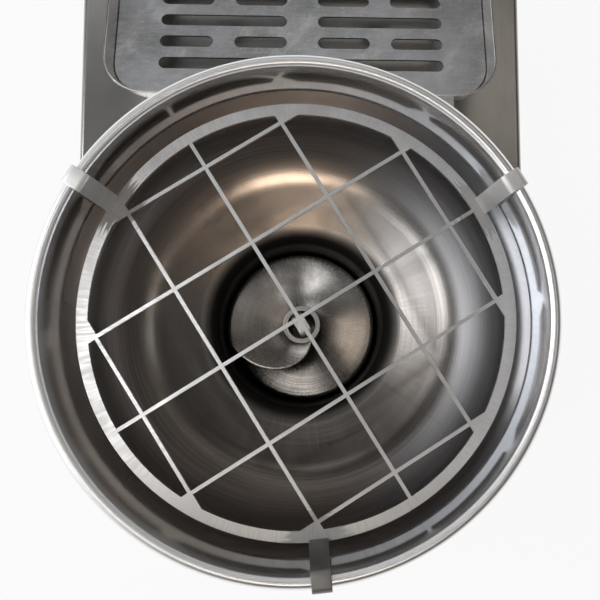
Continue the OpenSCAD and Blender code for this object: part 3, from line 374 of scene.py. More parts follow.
# %% [markdown]
# ## Room
# Steel shows what stands round it. The room has a pale wall to the left, a greyer one to the right and a
# dark ceiling, so flat tops look grey while upright sides stay light. It is a colour by direction in the
# world, which is simpler than real walls and throws no shadows.

# %% Room
LEFT_WALL = (0.90, 0.90, 0.90)
RIGHT_WALL = (0.62, 0.61, 0.60)
CEILING = (0.10, 0.097, 0.093)
WALL_FADE = (-0.5, 0.6)
CEILING_FADE = (0.14, 0.42)

world = bpy.data.worlds.new("room")
bpy.context.scene.world = world
world.use_nodes = True
room = Patterns(world.node_tree)
toward = room.add("ShaderNodeTexCoord", {}, "Generated")
walls = room.mix(room.span(room.along(toward, "X"), *WALL_FADE), LEFT_WALL, RIGHT_WALL)
light = room.mix(room.span(room.along(toward, "Z"), *CEILING_FADE), walls, CEILING)
room.join(light, room.tree.nodes["Background"].inputs["Color"])
bpy.context.scene.view_settings.view_transform = "Standard"
print("room:", len(room.tree.nodes), "nodes in the world")

# %% [markdown]
# ## Lamps
# All lamps are soft rectangles on a ball round the rim's centre, placed by how far they lean from straight
# above. That makes it easy to say where a lamp's mirror image falls in the bowl: the one to the left lights
# the right of the bottom, and the warm one in front lights the back. A wide window stands low to the left,
# and weaker lamps at the right and the back fill in the rest, the tray among it.

# %% Lamps
LAMP_AWAY = 1.6


def lamp(name, lean_right, lean_back, width, depth, brightness, colour):
    """A soft lamp at two leans in degrees. Its energy grows with its area."""
    way = Vector((math.tan(math.radians(lean_right)), math.tan(math.radians(lean_back)), 1)).normalized()
    data = bpy.data.lights.new(name, "AREA")
    data.shape = "RECTANGLE"
    data.size = width
    data.size_y = depth
    data.energy = brightness * math.pi * width * depth
    data.color = colour
    light = bpy.data.objects.new(name, data)
    light.location = RIM_CENTRE + LAMP_AWAY * way
    light.rotation_euler = way.to_track_quat("Z", "Y").to_euler()
    light.visible_camera = False
    bpy.context.scene.collection.objects.link(light)


lamp("left_lamp", -21, -1, 0.40, 0.40, 5.4, (1.0, 0.99, 0.98))
lamp("front_lamp", 0, -25, 0.6, 0.42, 2.6, (1.0, 0.90, 0.80))
lamp("right_lamp", 29, 2, 0.3, 0.3, 1.8, (1.0, 0.98, 0.95))
lamp("top_card", -4, 24, 0.4, 0.2, 1.2, (0.96, 0.98, 1.0))
lamp("back_card", 20, 34, 1.0, 0.4, 0.55, (1.0, 0.93, 0.82))
lamp("window_lamp", -60, 0, 1.2, 0.7, 4.8, (0.93, 0.96, 1.0))
lamp("back_lamp", -22, 48, 1.7, 0.4, 0.75, (0.94, 0.97, 1.0))
print("studio:", len(bpy.data.lights), "lamps")

# %% [markdown]
# ## Hopper steel, inside
# The bowl was spun and then polished. Its wall is almost a mirror, the bend below it is dull, the bottom
# keeps fine rings from the tool, the rolled rim is brushed, and the throat is painted near black, a painted
# shade. One finish holds all of them: zones by distance from the axis say where each begins. Separate
# finishes would need cuts in the mesh.

# %% Zones of the hopper
THROAT_ZONE = (0.079, 0.093)
BOTTOM_END = (0.11, 0.13)
BEND_ZONE = (0.13, 0.155)
WALL_ZONE = (0.166, 0.180)
BEAD_ZONE = (0.188, 0.190)

hopper_steel = Finish("spun_hopper_steel", 1.0, 0.2)
spot = hopper_steel.place(AXIS)
away = hopper_steel.radius(spot)
across = hopper_steel.along(spot, "X")
depth = hopper_steel.along(spot, "Y")
off_throat = hopper_steel.span(away, *THROAT_ZONE)
on_bottom = hopper_steel.span(away, *BOTTOM_END, 1.0, 0.0)
on_bend = hopper_steel.span(away, *BEND_ZONE)
polish = hopper_steel.span(away, *WALL_ZONE)
on_bead = hopper_steel.span(away, *BEAD_ZONE)
print("hopper zones end at", [zone[1] for zone in (THROAT_ZONE, BOTTOM_END, BEND_ZONE, WALL_ZONE, BEAD_ZONE)])

# %% [markdown]
# ## Painted light, shade and stains of the bottom
# The bottom's tones by place are painted light and shade: a warm painted reflection at the back, a browner
# painted shade to the left, a greyer painted reflection to the right and a dark painted shade in front. The
# tones fade into each other along the two flat directions. Clouds of stain, the tool's rings and short spokes
# of wiping lie over them, so no two places are alike. The whole bend takes the stain's tone as a painted
# shade, browner at the left and greyer at the right.

# %% Bottom tones
BOTTOM_SHADE_FRONT_PAINTED = (0.10, 0.087, 0.078)
BOTTOM_SHADE_MIDDLE_PAINTED = (0.22, 0.205, 0.195)
BOTTOM_REFLECTION_WARM_PAINTED = (0.88, 0.70, 0.56)
BOTTOM_SHADE_LEFT_PAINTED = (0.42, 0.34, 0.28)
BOTTOM_REFLECTION_GREY_PAINTED = (0.30, 0.295, 0.295)
STAIN_AND_SHADE_LEFT = (0.17, 0.14, 0.12)
STAIN_AND_SHADE_RIGHT = (0.26, 0.256, 0.264)
RING_TONE = (0.48, 0.44, 0.40)
SPOKE_TONE = (0.52, 0.49, 0.46)

# Tones by place are painted light and shade: a warm painted reflection at the back, brown painted shade to
# the left and a grey painted reflection to the right.
back = hopper_steel.mix(hopper_steel.span(across, 0.0, 0.08), BOTTOM_REFLECTION_WARM_PAINTED, BOTTOM_REFLECTION_GREY_PAINTED)
back = hopper_steel.mix(hopper_steel.span(across, -0.11, -0.01), BOTTOM_SHADE_LEFT_PAINTED, back)
# Darker towards the front: a painted shade.
front = hopper_steel.mix(hopper_steel.span(depth, -0.12, -0.02), BOTTOM_SHADE_FRONT_PAINTED, BOTTOM_SHADE_MIDDLE_PAINTED)
painted_light_tint = hopper_steel.mix(hopper_steel.span(depth, -0.02, 0.10), front, back)

stains = hopper_steel.noise(spot, 9.0, 4.0, 0.6)
# Real stain clouds, with the whole bend also put in the stain tone as a painted shade; that tone is browner
# at the left and greyer at the right, painted light and shade.
stained_and_painted_shade = hopper_steel.math("MAXIMUM", hopper_steel.span(stains, 0.4, 0.7, 0.0, 0.7), on_bend)
stain_and_painted_shade_tone = hopper_steel.mix(hopper_steel.span(across, 0.02, 0.12), STAIN_AND_SHADE_LEFT, STAIN_AND_SHADE_RIGHT)
plain = hopper_steel.mix(stained_and_painted_shade, painted_light_tint, stain_and_painted_shade_tone)

rings = hopper_steel.noise(hopper_steel.ring_lines(spot, 6.0, 900.0), 1.0, 3.0, 0.6)
lined = hopper_steel.mix(hopper_steel.span(rings, 0.3, 0.7, 0.0, 0.2), plain, RING_TONE)
spokes = hopper_steel.noise(hopper_steel.spoke_lines(spot, 150.0, 12.0), 1.0, 2.0, 0.6)
spoked = hopper_steel.math("MULTIPLY", hopper_steel.span(spokes, 0.45, 0.75, 0.0, 0.25), on_bottom)
wiped = hopper_steel.mix(spoked, lined, SPOKE_TONE)
hopper_steel.tell()

# %% [markdown]
# ## Seam, wall, rim and throat
# One thin, ragged, dull line runs from the throat to the bend, like a weld that was ground flat. It is a
# distance from a turned axis, made ragged by noise, which is simpler than a piece of its own. The wall's tone
# goes from warm at the left to cool at the right, a painted reflection, the rim is the brightest zone, and
# the throat is painted in last, near black as a painted shade.

# %% Seam, wall, rim and throat
SEAM_TURN = math.radians(36)
SEAM_WIDTH = (0.0004, 0.0022)
SEAM_END = (0.13, 0.16)
SEAM_TONE = (0.16, 0.14, 0.12)
SCUFF = 0.006
WALL_REFLECTION_WARM_PAINTED = (0.64, 0.59, 0.55)
WALL_REFLECTION_COOL_PAINTED = (0.84, 0.87, 0.92)
RIM_TONE = (0.95, 0.95, 0.95)
THROAT_SHADE_PAINTED = (0.012, 0.011, 0.01)

# Warm at the left and cool at the right: a painted reflection on the wall.
wall_painted_reflection = hopper_steel.mix(hopper_steel.span(across, -0.12, 0.12), WALL_REFLECTION_WARM_PAINTED, WALL_REFLECTION_COOL_PAINTED)
walled = hopper_steel.mix(polish, wiped, wall_painted_reflection)
rimmed = hopper_steel.mix(on_bead, walled, RIM_TONE)

seam_spot = hopper_steel.place(AXIS, SEAM_TURN)
aside = hopper_steel.math("ABSOLUTE", hopper_steel.along(seam_spot, "Y"))
ahead = hopper_steel.math("GREATER_THAN", hopper_steel.along(seam_spot, "X"), 0.0)
scuff = hopper_steel.math("MULTIPLY_ADD", hopper_steel.noise(spot, 60.0, 3.0), SCUFF, -SCUFF / 2)
seam = hopper_steel.span(hopper_steel.math("ADD", aside, scuff), *SEAM_WIDTH, 0.55, 0.0)
seam = hopper_steel.math("MULTIPLY", seam, ahead)
seam = hopper_steel.math("MULTIPLY", seam, hopper_steel.span(away, *SEAM_END, 1.0, 0.0))
welded = hopper_steel.mix(seam, rimmed, SEAM_TONE)
# The throat is painted near black: a painted shade.
hopper_steel.set("Base Color", hopper_steel.mix(off_throat, THROAT_SHADE_PAINTED, welded))
hopper_steel.tell()

# %% [markdown]
# ## Gloss of the hopper
# How sharp a mirror image is depends on how finely the sheet was polished. Roughness follows the same zones
# as the tones: dull on the bend, nearly a mirror on the wall with some haze at the front left, and brushed on
# the rim. It could be painted by hand, but sums of the zones keep tone and gloss in step. The throat isn't
# metal here: its near-black tone is a painted shade, and a low specular level keeps it black.

# %% Gloss of the hopper
BOTTOM_ROUGH = 0.23
BEND_ROUGH = 0.25
WALL_GLOSS = 0.36
WALL_HAZE = 0.16
BEAD_ROUGH = 0.2
THROAT_ROUGH = 0.7

haze_left = hopper_steel.span(across, -0.15, 0.0, WALL_HAZE, 0.0)
haze = hopper_steel.math("MULTIPLY", haze_left, hopper_steel.span(depth, 0.0, 0.1, 1.0, 0.0))
gloss = hopper_steel.math("SUBTRACT", haze, WALL_GLOSS)
bend_rough = hopper_steel.math("MULTIPLY_ADD", on_bend, BEND_ROUGH, BOTTOM_ROUGH)
inner_rough = hopper_steel.math("MULTIPLY_ADD", polish, gloss, bend_rough)
metal_rough = hopper_steel.math("MULTIPLY_ADD", on_bead, BEAD_ROUGH, inner_rough)
rough = hopper_steel.span(off_throat, 0.0, 1.0, THROAT_ROUGH, metal_rough, "LINEAR")
hopper_steel.set("Roughness", rough)
hopper_steel.set("Metallic", off_throat)
hopper_steel.set("Specular IOR Level", 0.05)
off_wall = hopper_steel.math("SUBTRACT", 1.0, polish)
hopper_steel.bump(hopper_steel.math("MULTIPLY", rings, off_wall), 0.01 * MM, 0.5)
hopper_steel.brushed_round(0.35)
hopper_steel.tell()

# %% [markdown]
# ## Hopper steel, outside
# The outside of the bowl is hardly in the picture, so its finish is a guess: the lines of the spinning
# tool, which run level round the bowl. Noise that changes quickly with height and slowly along the other
# two directions gives such lines.

# %% Outer finish of the hopper
OUTER_LIGHT = (0.60, 0.59, 0.58)
OUTER_DARK = (0.50, 0.49, 0.48)
OUTER_LINE = (0.70, 0.69, 0.68)
LEVEL_LINES = (5, 5, 900)

outer_steel = Finish("brushed_hopper_steel", 1.0, 0.3)
spot = outer_steel.place(AXIS)
turned = outer_steel.noise(outer_steel.stretch(spot, LEVEL_LINES), 1.0, 3.0, 0.6)
cloud = outer_steel.noise(spot, 10.0, 4.0, 0.6)
plain = outer_steel.mix(outer_steel.span(cloud, 0.35, 0.7), OUTER_LIGHT, OUTER_DARK)
lined = outer_steel.mix(outer_steel.span(turned, 0.35, 0.7, 0.0, 0.4), plain, OUTER_LINE)
outer_steel.set("Base Color", lined)
outer_steel.set("Roughness", outer_steel.span(turned, 0.3, 0.7, 0.24, 0.34))
outer_steel.bump(turned, 0.02 * MM, 0.4)
outer_steel.tell()

# %% [markdown]
# ## Hopper bowl
# The bowl is one sheet: a short neck, a rounded throat lip, a shallow bottom, a leaning wall and a rim
# rolled round a wire. A closed outline of both its sides could be spun, but the middle line needs only half
# the points. It is drawn once, spun round the axis and given the sheet's thickness, and the outer skin
# takes the second finish.

# %% Section of the bowl
SHEET = 1.5 * MM
NECK_R = 0.07575
THROAT_Z = RIM_Z - 0.135
LEAN = math.radians(10)
RISE = math.radians(12)
BEND_R = 0.074
LIP_R = 0.008
BEAD_R = 0.005
BEND_STEPS = 20
ROLL_STEPS = 28
ROLL_TURN = math.radians(322)

bead = Vector((RIM_R - BEAD_R, RIM_Z - BEAD_R))
roll_r = BEAD_R - SHEET / 2
wall_top = bead + roll_r * Vector((-math.cos(LEAN), math.sin(LEAN)))
throat = Vector((NECK_R, THROAT_Z))
rise = wall_top - throat
bottom_l = (rise.x * math.cos(LEAN) - rise.y * math.sin(LEAN)) / math.cos(LEAN + RISE)
wall_foot = throat + bottom_l * Vector((math.cos(RISE), math.sin(RISE)))
section = rounded([(NECK_R, COLLAR_Z), throat, wall_foot, wall_top], [LIP_R, BEND_R], BEND_STEPS)
for k in range(1, ROLL_STEPS + 1):
    angle = math.pi - LEAN - ROLL_TURN * k / ROLL_STEPS
    section.append(bead + roll_r * Vector((math.cos(angle), math.sin(angle))))
print("bowl section has", len(section), "points")

# %% [markdown]
# ## Spinning the bowl
# On a lathe a roller presses a flat disc over a form. Spin makes the same shape from the line in one turn.
# The doubles at the start of the turn are merged, and the normals are made to agree before Solidify gives
# the sheet its thickness, because afterwards that could turn the inner skin round.

# %% Bowl
SPIN_STEPS = 240

bowl = draw_line("bowl", upright(section))
edit(bowl)
bpy.ops.mesh.spin(steps=SPIN_STEPS, angle=2 * math.pi, center=(0, 0, 0), axis=(0, 0, 1))
bpy.ops.mesh.select_all(action="SELECT")
bpy.ops.mesh.remove_doubles(threshold=MERGE)
bpy.ops.mesh.normals_make_consistent(inside=False)
wear(bowl, hopper_steel, outer_steel)
modify(bowl, "SOLIDIFY", thickness=SHEET, offset=0.0, use_even_offset=True, material_offset=1)
bowl.location = AXIS
settle(bowl)
smooth(bowl, degrees=40)
stands_for(bowl, "base", "polished_stainless", "hopper_bowl")

# %% [markdown]
# ## Softened copies
# A cut edge is never quite sharp, and the thin line of light on it makes sheet look real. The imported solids
# of the guard, the hub, the tray and the plinth have the right outline already, so they aren't drawn again:
# a merged copy gets a small bevel, and weighted normals keep its flat faces flat.

# %% Softened copies
FLAT = math.radians(0.5)


def softened(name, node, width, degrees=35):
    """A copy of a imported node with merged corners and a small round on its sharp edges."""
    piece = bpy.data.objects.new(name, nodes[node].data.copy())
    bpy.context.scene.collection.objects.link(piece)
    edit(piece)
    bpy.ops.mesh.remove_doubles(threshold=MERGE)
    bpy.ops.mesh.customdata_custom_splitnormals_clear()
    bpy.ops.mesh.dissolve_limited(angle_limit=FLAT)
    modify(piece, "BEVEL", width=width, segments=2, limit_method="ANGLE",
           angle_limit=math.radians(degrees), use_clamp_overlap=True)
    smooth(piece, degrees)
    modify(piece, "WEIGHTED_NORMAL", weight=100, keep_sharp=True)
    return piece


print("softened copies start from", len(nodes), "packed nodes")

# %% [markdown]
# ## Places of the hooks
# Three hooks carry the guard. The first one lies along the lattice of bars. The other two point to corners
# of the lattice on the far side, one step back and two steps to either side, so their angles are worked out
# from that.

# %% Places of the hooks
HOOK_TURN = math.radians(31.8)
CORNER_TURN = math.atan2(2, 1)
HOOK_ANGLES = (HOOK_TURN, HOOK_TURN + math.pi - CORNER_TURN, HOOK_TURN - math.pi + CORNER_TURN)
print("hooks at", [round(math.degrees(angle), 1) for angle in HOOK_ANGLES], "degrees")

# %% [markdown]
# ## Guard steel
# The guard is cut from one plate and ground by hand, so it is the brightest piece, with short grinding marks
# across the ring and dull patches where the hooks are welded on. The patches are distances from the three
# welds, and noise along the ring tears their edges. The plate is painted darker towards the front and a
# little towards the right: painted shade.

# %% Guard finish
GROUND_LIGHT_LEFT_PAINTED = (0.92, 0.92, 0.93)
GROUND_SHADE_RIGHT_PAINTED = (0.80, 0.80, 0.81)
GROUND_SHADE_FRONT_PAINTED = (0.36, 0.35, 0.34)
MARK_TONE = (0.66, 0.66, 0.66)
WORN_TONE = (0.56, 0.55, 0.54)
DULL_TONE = (0.50, 0.49, 0.48)
DULL_EDGE = (0.022, 0.026)
DULL_ROUGH = 0.35
RAGGED = 0.04

guard_steel = Finish("ground_guard_steel", 1.0, 0.3)
spot = guard_steel.place(AXIS)
marks = guard_steel.noise(guard_steel.spoke_lines(spot, 90.0, 60.0), 1.0, 2.0, 0.6)
cloud = guard_steel.noise(spot, 22.0, 3.0, 0.6)
torn = guard_steel.noise(guard_steel.ring_lines(spot, 30.0, 700.0))
wobble = guard_steel.math("MULTIPLY_ADD", torn, RAGGED, -RAGGED / 2)
dull = 0.0
for angle in HOOK_ANGLES:
    weld = (RING_R * math.cos(angle), RING_R * math.sin(angle), GUARD_Z)
    far = guard_steel.add("ShaderNodeVectorMath", {0: spot, 1: weld}, 1, operation="DISTANCE")
    near = guard_steel.span(guard_steel.math("ADD", far, wobble), *DULL_EDGE, 1.0, 0.0)
    dull = guard_steel.math("MAXIMUM", near, dull)
# Lighter at the left, darker at the right and much darker in front: painted light and shade.
shade_to_right_painted = guard_steel.span(guard_steel.along(spot, "X"), -0.14, 0.0)
to_front = guard_steel.span(guard_steel.along(spot, "Y"), -0.17, -0.10, 0.8, 0.0)
ground = guard_steel.mix(shade_to_right_painted, GROUND_LIGHT_LEFT_PAINTED, GROUND_SHADE_RIGHT_PAINTED)
ground = guard_steel.mix(to_front, ground, GROUND_SHADE_FRONT_PAINTED)
bright = guard_steel.mix(guard_steel.span(marks, 0.3, 0.7, 0.0, 0.5), ground, MARK_TONE)
worn = guard_steel.mix(guard_steel.span(cloud, 0.48, 0.7, 0.0, 0.5), bright, WORN_TONE)
guard_steel.set("Base Color", guard_steel.mix(dull, worn, DULL_TONE))
fine_rough = guard_steel.span(marks, 0.3, 0.7, 0.35, 0.45)
guard_steel.set("Roughness", guard_steel.math("MULTIPLY_ADD", dull, DULL_ROUGH, fine_rough))
guard_steel.bump(marks, 0.04 * MM, 0.3)
guard_steel.tell()

# %% [markdown]
# ## Guard plate
# The plate is one flat cutting, ring, bars and corner webs together, so the softened copy is all it needs.

# %% Guard plate
guard_plate = softened("guard_plate", "guard_grid", 0.35 * MM)
wear(guard_plate, guard_steel)
stands_for(guard_plate, "guard", "ground_stainless", "guard_grid")

# %% [markdown]
# ## Hook steel
# The hooks are plain strap with a grain along their length. Soft clouds in tone and gloss keep them from
# looking new, and the one in front is painted darkest, a painted shade.

# %% Hook finish
STRAP_LIGHT = (0.92, 0.91, 0.90)
STRAP_DARK = (0.76, 0.75, 0.74)
STRAP_LINE = (0.96, 0.96, 0.96)
STRAP_SHADE_FRONT_PAINTED = (0.20, 0.19, 0.18)

hook_steel = Finish("strap_steel", 1.0, 0.3)
spot = hook_steel.place(AXIS)
grain = hook_steel.noise(hook_steel.spoke_lines(spot, 260.0, 9.0), 1.0, 3.0, 0.65)
cloud = hook_steel.noise(spot, 45.0)
# The hook in front is painted dark: a painted shade.
to_front = hook_steel.span(hook_steel.along(spot, "Y"), -0.16, -0.14, 0.9, 0.0)
plain = hook_steel.mix(hook_steel.span(cloud, 0.35, 0.7), STRAP_LIGHT, STRAP_DARK)
lined = hook_steel.mix(hook_steel.span(grain, 0.3, 0.7, 0.0, 0.4), plain, STRAP_LINE)
hook_steel.set("Base Color", hook_steel.mix(to_front, lined, STRAP_SHADE_FRONT_PAINTED))
hook_steel.set("Roughness", hook_steel.span(cloud, 0.3, 0.7, 0.46, 0.62))
hook_steel.bump(grain, 0.05 * MM, 0.3)
hook_steel.tell()

# %% [markdown]
# ## Copies round the ring
# Hooks and welds sit at the same three places. Each is modelled once, along X from the axis, and its copies
# are turned about the axis. Linked copies would share one mesh. Here each copy has its own, so its place
# can go into that mesh.

# %% Copies at the hooks
def copy_to_hooks(source, name, finish, *replaced):
    """Copies a piece to the three places and removes the one that was copied."""
    for number, angle in enumerate(HOOK_ANGLES, 1):
        copy = bpy.data.objects.new(f"{name}_{number}", source.data.copy())
        bpy.context.scene.collection.objects.link(copy)
        copy.location = AXIS
        copy.rotation_euler = (0, 0, angle)
        settle(copy)
        wear(copy, finish)
        stands_for(copy, "guard", "ground_stainless", *replaced)
    bpy.data.objects.remove(source)


print("copies go to", len(HOOK_ANGLES), "places")

# %% [markdown]
# ## Guard hooks
# Three flat straps are welded to the ring, rise to the rim, lie over the rolled edge and end in a short tip
# outside. They could be bent from bars, but a strap is simpler as a line: it is drawn from the side, pulled
# to its width, rounded at the tip, thickened and copied to the three places.

# %% Hooks
STRAP_W = 0.015
STRAP_T = 0.002
STRAP_BEND = 2 * STRAP_T
STRAP_EDGE = 0.5 * MM
BEND_POINTS = 8
HOOK_LAP = 0.0015
HOOK_START = 1.6 * BEAD_R
HOOK_DROP = 0.014
HOOK_FLARE = 0.001
RIM_GAP = 0.3 * MM
TIP_ROUND = 3.2 * MM
TIP_BAND = 0.01 * MM

foot_z = GUARD_Z - STRAP_T / 4
top_z = RIM_Z + RIM_GAP + STRAP_T / 2
out_r = RIM_R + RIM_GAP + STRAP_T / 2
tip_z = RIM_Z - HOOK_DROP
corners = [(RING_R - HOOK_LAP, foot_z), (bead.x - HOOK_START, top_z),
           (out_r, top_z), (out_r + HOOK_FLARE, tip_z)]
hook = draw_line("hook", upright(rounded(corners, [STRAP_BEND, STRAP_BEND], BEND_POINTS)))
edit(hook)
bpy.ops.transform.translate(value=(0, -STRAP_W / 2, 0))
bpy.ops.mesh.extrude_region_move(TRANSFORM_OT_translate={"value": (0, STRAP_W, 0)})
select_where(hook, lambda co: co.z < tip_z + TIP_BAND and co.x > RIM_R)
bpy.ops.mesh.bevel(offset=TIP_ROUND, segments=5, affect="VERTICES")
bpy.ops.mesh.select_all(action="SELECT")
bpy.ops.mesh.normals_make_consistent(inside=False)
modify(hook, "SOLIDIFY", thickness=STRAP_T, offset=0.0, use_even_offset=True)
modify(hook, "BEVEL", width=STRAP_EDGE, segments=3, limit_method="ANGLE", angle_limit=math.radians(50))
smooth(hook, degrees=50)
copy_to_hooks(hook, "hook", hook_steel, "guard_hooks")

# %% [markdown]
# ## Weld beads
# A short weld joins each strap to the ring. A weld is a row of overlapping drops of metal, so it is made as
# one: a few small spheres in a row, melted together by the Remesh modifier and smoothed.

# %% Weld beads
WELD_R = 0.0012
WELD_DROPS = 10
WELD_SWING = 0.2 * WELD_R
WELD_GRID = 0.25 * MM

clear_selection()
for k in range(WELD_DROPS):
    drop = (RING_R + WELD_SWING * (k % 3), STRAP_W * ((k + 0.5) / WELD_DROPS - 0.5), GUARD_Z - WELD_R / 3)
    bpy.ops.mesh.primitive_uv_sphere_add(segments=16, ring_count=10, radius=WELD_R, location=drop)
    if k:
        weld_row.select_set(True)
        bpy.context.view_layer.objects.active = weld_row
        bpy.ops.object.join()
    else:
        weld_row = bpy.context.object
settle(weld_row)
modify(weld_row, "REMESH", mode="VOXEL", voxel_size=WELD_GRID, use_smooth_shade=True)
modify(weld_row, "SMOOTH", factor=0.5, iterations=3)
copy_to_hooks(weld_row, "weld", guard_steel)

# %% [markdown]
# ## Auger steel
# The flight is smooth from use, with fine rings and short spokes in its surface. Its tones by place are
# painted light and shade: a painted highlight at the back, painted shade in front and a brown painted shade
# to the left. The rings stretch its highlights, so the shader is told to spread them round the axis.

# %% Auger finish
AUGER_SHADE_FRONT_PAINTED = (0.11, 0.10, 0.092)
AUGER_SHADE_MIDDLE_PAINTED = (0.24, 0.217, 0.196)
AUGER_HIGHLIGHT_BACK_PAINTED = (0.98, 0.97, 0.96)
AUGER_SHADE_LEFT_PAINTED = (0.12, 0.10, 0.08)
AUGER_CLOUD = (0.25, 0.225, 0.20)
AUGER_SPOKE = (0.48, 0.46, 0.44)
AUGER_RING = (0.56, 0.53, 0.50)

auger_steel = Finish("auger_steel", 1.0, 0.3)
spot = auger_steel.place(AXIS)
across = auger_steel.along(spot, "X")
depth = auger_steel.along(spot, "Y")
spokes = auger_steel.noise(auger_steel.spoke_lines(spot, 200.0, 110.0), 1.0, 2.0, 0.6)
rings = auger_steel.noise(auger_steel.ring_lines(spot, 4.0, 900.0), 1.0, 3.0, 0.6)
cloud = auger_steel.noise(spot, 30.0, 3.0)
# Darker in front, a painted highlight at the back and darker to the left: painted light and shade.
front = auger_steel.mix(auger_steel.span(depth, -0.05, 0.0), AUGER_SHADE_FRONT_PAINTED, AUGER_SHADE_MIDDLE_PAINTED)
painted_light_tint = auger_steel.mix(auger_steel.span(depth, 0.0, 0.05), front, AUGER_HIGHLIGHT_BACK_PAINTED)
painted_light_tint = auger_steel.mix(auger_steel.span(across, -0.06, -0.01, 0.7, 0.0), painted_light_tint, AUGER_SHADE_LEFT_PAINTED)
plain = auger_steel.mix(auger_steel.span(cloud, 0.35, 0.7, 0.0, 0.7), painted_light_tint, AUGER_CLOUD)
spoked = auger_steel.mix(auger_steel.span(spokes, 0.3, 0.75, 0.0, 0.12), plain, AUGER_SPOKE)
brushed = auger_steel.mix(auger_steel.span(rings, 0.45, 0.65, 0.0, 0.25), spoked, AUGER_RING)
auger_steel.set("Base Color", brushed)
auger_steel.set("Roughness", auger_steel.span(spokes, 0.3, 0.7, 0.19, 0.28))
auger_steel.bump(spokes, 0.03 * MM, 0.15)
auger_steel.brushed_round(0.5)
auger_steel.tell()

# %% [markdown]
# ## Auger flight
# The flight is a strip wound down the hub like a spiral stair, and its leading edge sweeps back as it goes
# outwards. A plain spiral could be cut to that edge, but a cut leaves ragged faces. So the edge is drawn
# first, as a line of points on the spiral surface, and the strip grows from it.

# %% Leading edge of the flight
flight_low, flight_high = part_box("auger_flight")
hub_low, hub_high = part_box("auger_hub")
FLIGHT_R = (flight_high.x - flight_low.x) / 2
HUB_R = (hub_high.x - hub_low.x) / 2
TIP_Z = flight_high.z
PITCH = 0.065
TIP_ANGLE = math.radians(-59)
SWEEP = math.radians(107)
EDGE_POINTS = 16


def on_spiral(radius, down):
    """A point of the spiral surface, at an angle counted downwards from the tip."""
    angle = TIP_ANGLE - down
    return (radius * math.cos(angle), radius * math.sin(angle), TIP_Z - PITCH * down / (2 * math.pi))


edge_line = [on_spiral(HUB_R + (FLIGHT_R - HUB_R) * k / EDGE_POINTS, SWEEP * k / EDGE_POINTS)
             for k in range(EDGE_POINTS + 1)]
print("leading edge from radius", round(HUB_R, 4), "to", round(FLIGHT_R, 4))

# %% [markdown]
# ## Winding the flight
# The Screw modifier winds the edge down by the pitch for each turn. A flat cut trims the lower end, and the
# strip gets its thickness and a soft edge. Its upper side has to stay on the spiral, so the thickness goes
# downwards, whichever way the faces came out.

# %% Flight
FLIGHT_T = 0.003
FLIGHT_EDGE = 0.6 * MM
STEPS_PER_TURN = 72

turns = (TIP_Z - flight_low.z) / PITCH
steps = int(STEPS_PER_TURN * turns)
flight = draw_line("flight", edge_line)
modify(flight, "SCREW", axis="Z", angle=-2 * math.pi * turns, screw_offset=-PITCH * turns, iterations=1,
       steps=steps, render_steps=steps, use_smooth_shade=True)
edit(flight)
bpy.ops.mesh.remove_doubles(threshold=MERGE)
bpy.ops.mesh.bisect(plane_co=(0, 0, flight_low.z + FLIGHT_T), plane_no=(0, 0, 1), clear_inner=True)
bpy.ops.mesh.select_all(action="SELECT")
bpy.ops.mesh.normals_make_consistent(inside=False)
bpy.ops.object.mode_set(mode="OBJECT")
faces_up = sum(face.normal.z for face in flight.data.polygons) > 0
modify(flight, "SOLIDIFY", thickness=FLIGHT_T, offset=-1.0 if faces_up else 1.0, use_even_offset=True)
modify(flight, "BEVEL", width=FLIGHT_EDGE, segments=3, limit_method="ANGLE", angle_limit=math.radians(50))
flight.location = AXIS
settle(flight)
smooth(flight, degrees=50)
wear(flight, auger_steel)
stands_for(flight, "auger", "auger_stainless", "auger_flight")

# %% [markdown]
# ## Hub
# The hub is an open tube that was turned on a lathe: fine rings on its end, and a bore that stays dark
# because no light gets down it. The bore is told from the rest by its radius, so one finish is enough.

# %% Hub
HUB_BORE = 0.0127
BORE_EDGE = 0.4 * MM
HUB_LIGHT = (0.64, 0.62, 0.60)
HUB_DARK = (0.36, 0.34, 0.32)
BORE_TONE = (0.02, 0.018, 0.016)

hub_steel = Finish("hub_steel", 1.0, 0.35)
spot = hub_steel.place(AXIS)
grain = hub_steel.noise(hub_steel.ring_lines(spot, 60.0, 500.0), 1.0, 3.0)
turned = hub_steel.mix(hub_steel.span(grain, 0.3, 0.7), HUB_LIGHT, HUB_DARK)
in_bore = hub_steel.span(hub_steel.radius(spot), HUB_BORE, HUB_BORE + BORE_EDGE, 1.0, 0.0)
hub_steel.set("Base Color", hub_steel.mix(in_bore, turned, BORE_TONE))
hub_steel.set("Metallic", hub_steel.math("SUBTRACT", 1.0, in_bore))
hub_steel.set("Roughness", hub_steel.span(grain, 0.3, 0.7, 0.30, 0.45))
hub_steel.tell()
hub = softened("hub", "auger_hub", 0.7 * MM)
wear(hub, hub_steel)
stands_for(hub, "auger", "auger_stainless", "auger_hub")

# %% [markdown]
# ## Lifting bar
# A short strap across the hub's mouth is the grip by which the auger is pulled off its shaft. It is paler
# than the hub, with a fine grain that runs from front to back. Its solid has the right form, so a softened
# copy is enough.

# %% Lifting bar
BAR_LIGHT = (0.92, 0.90, 0.88)
BAR_DARK = (0.66, 0.62, 0.58)
BAR_GRAIN = (400, 60, 400)

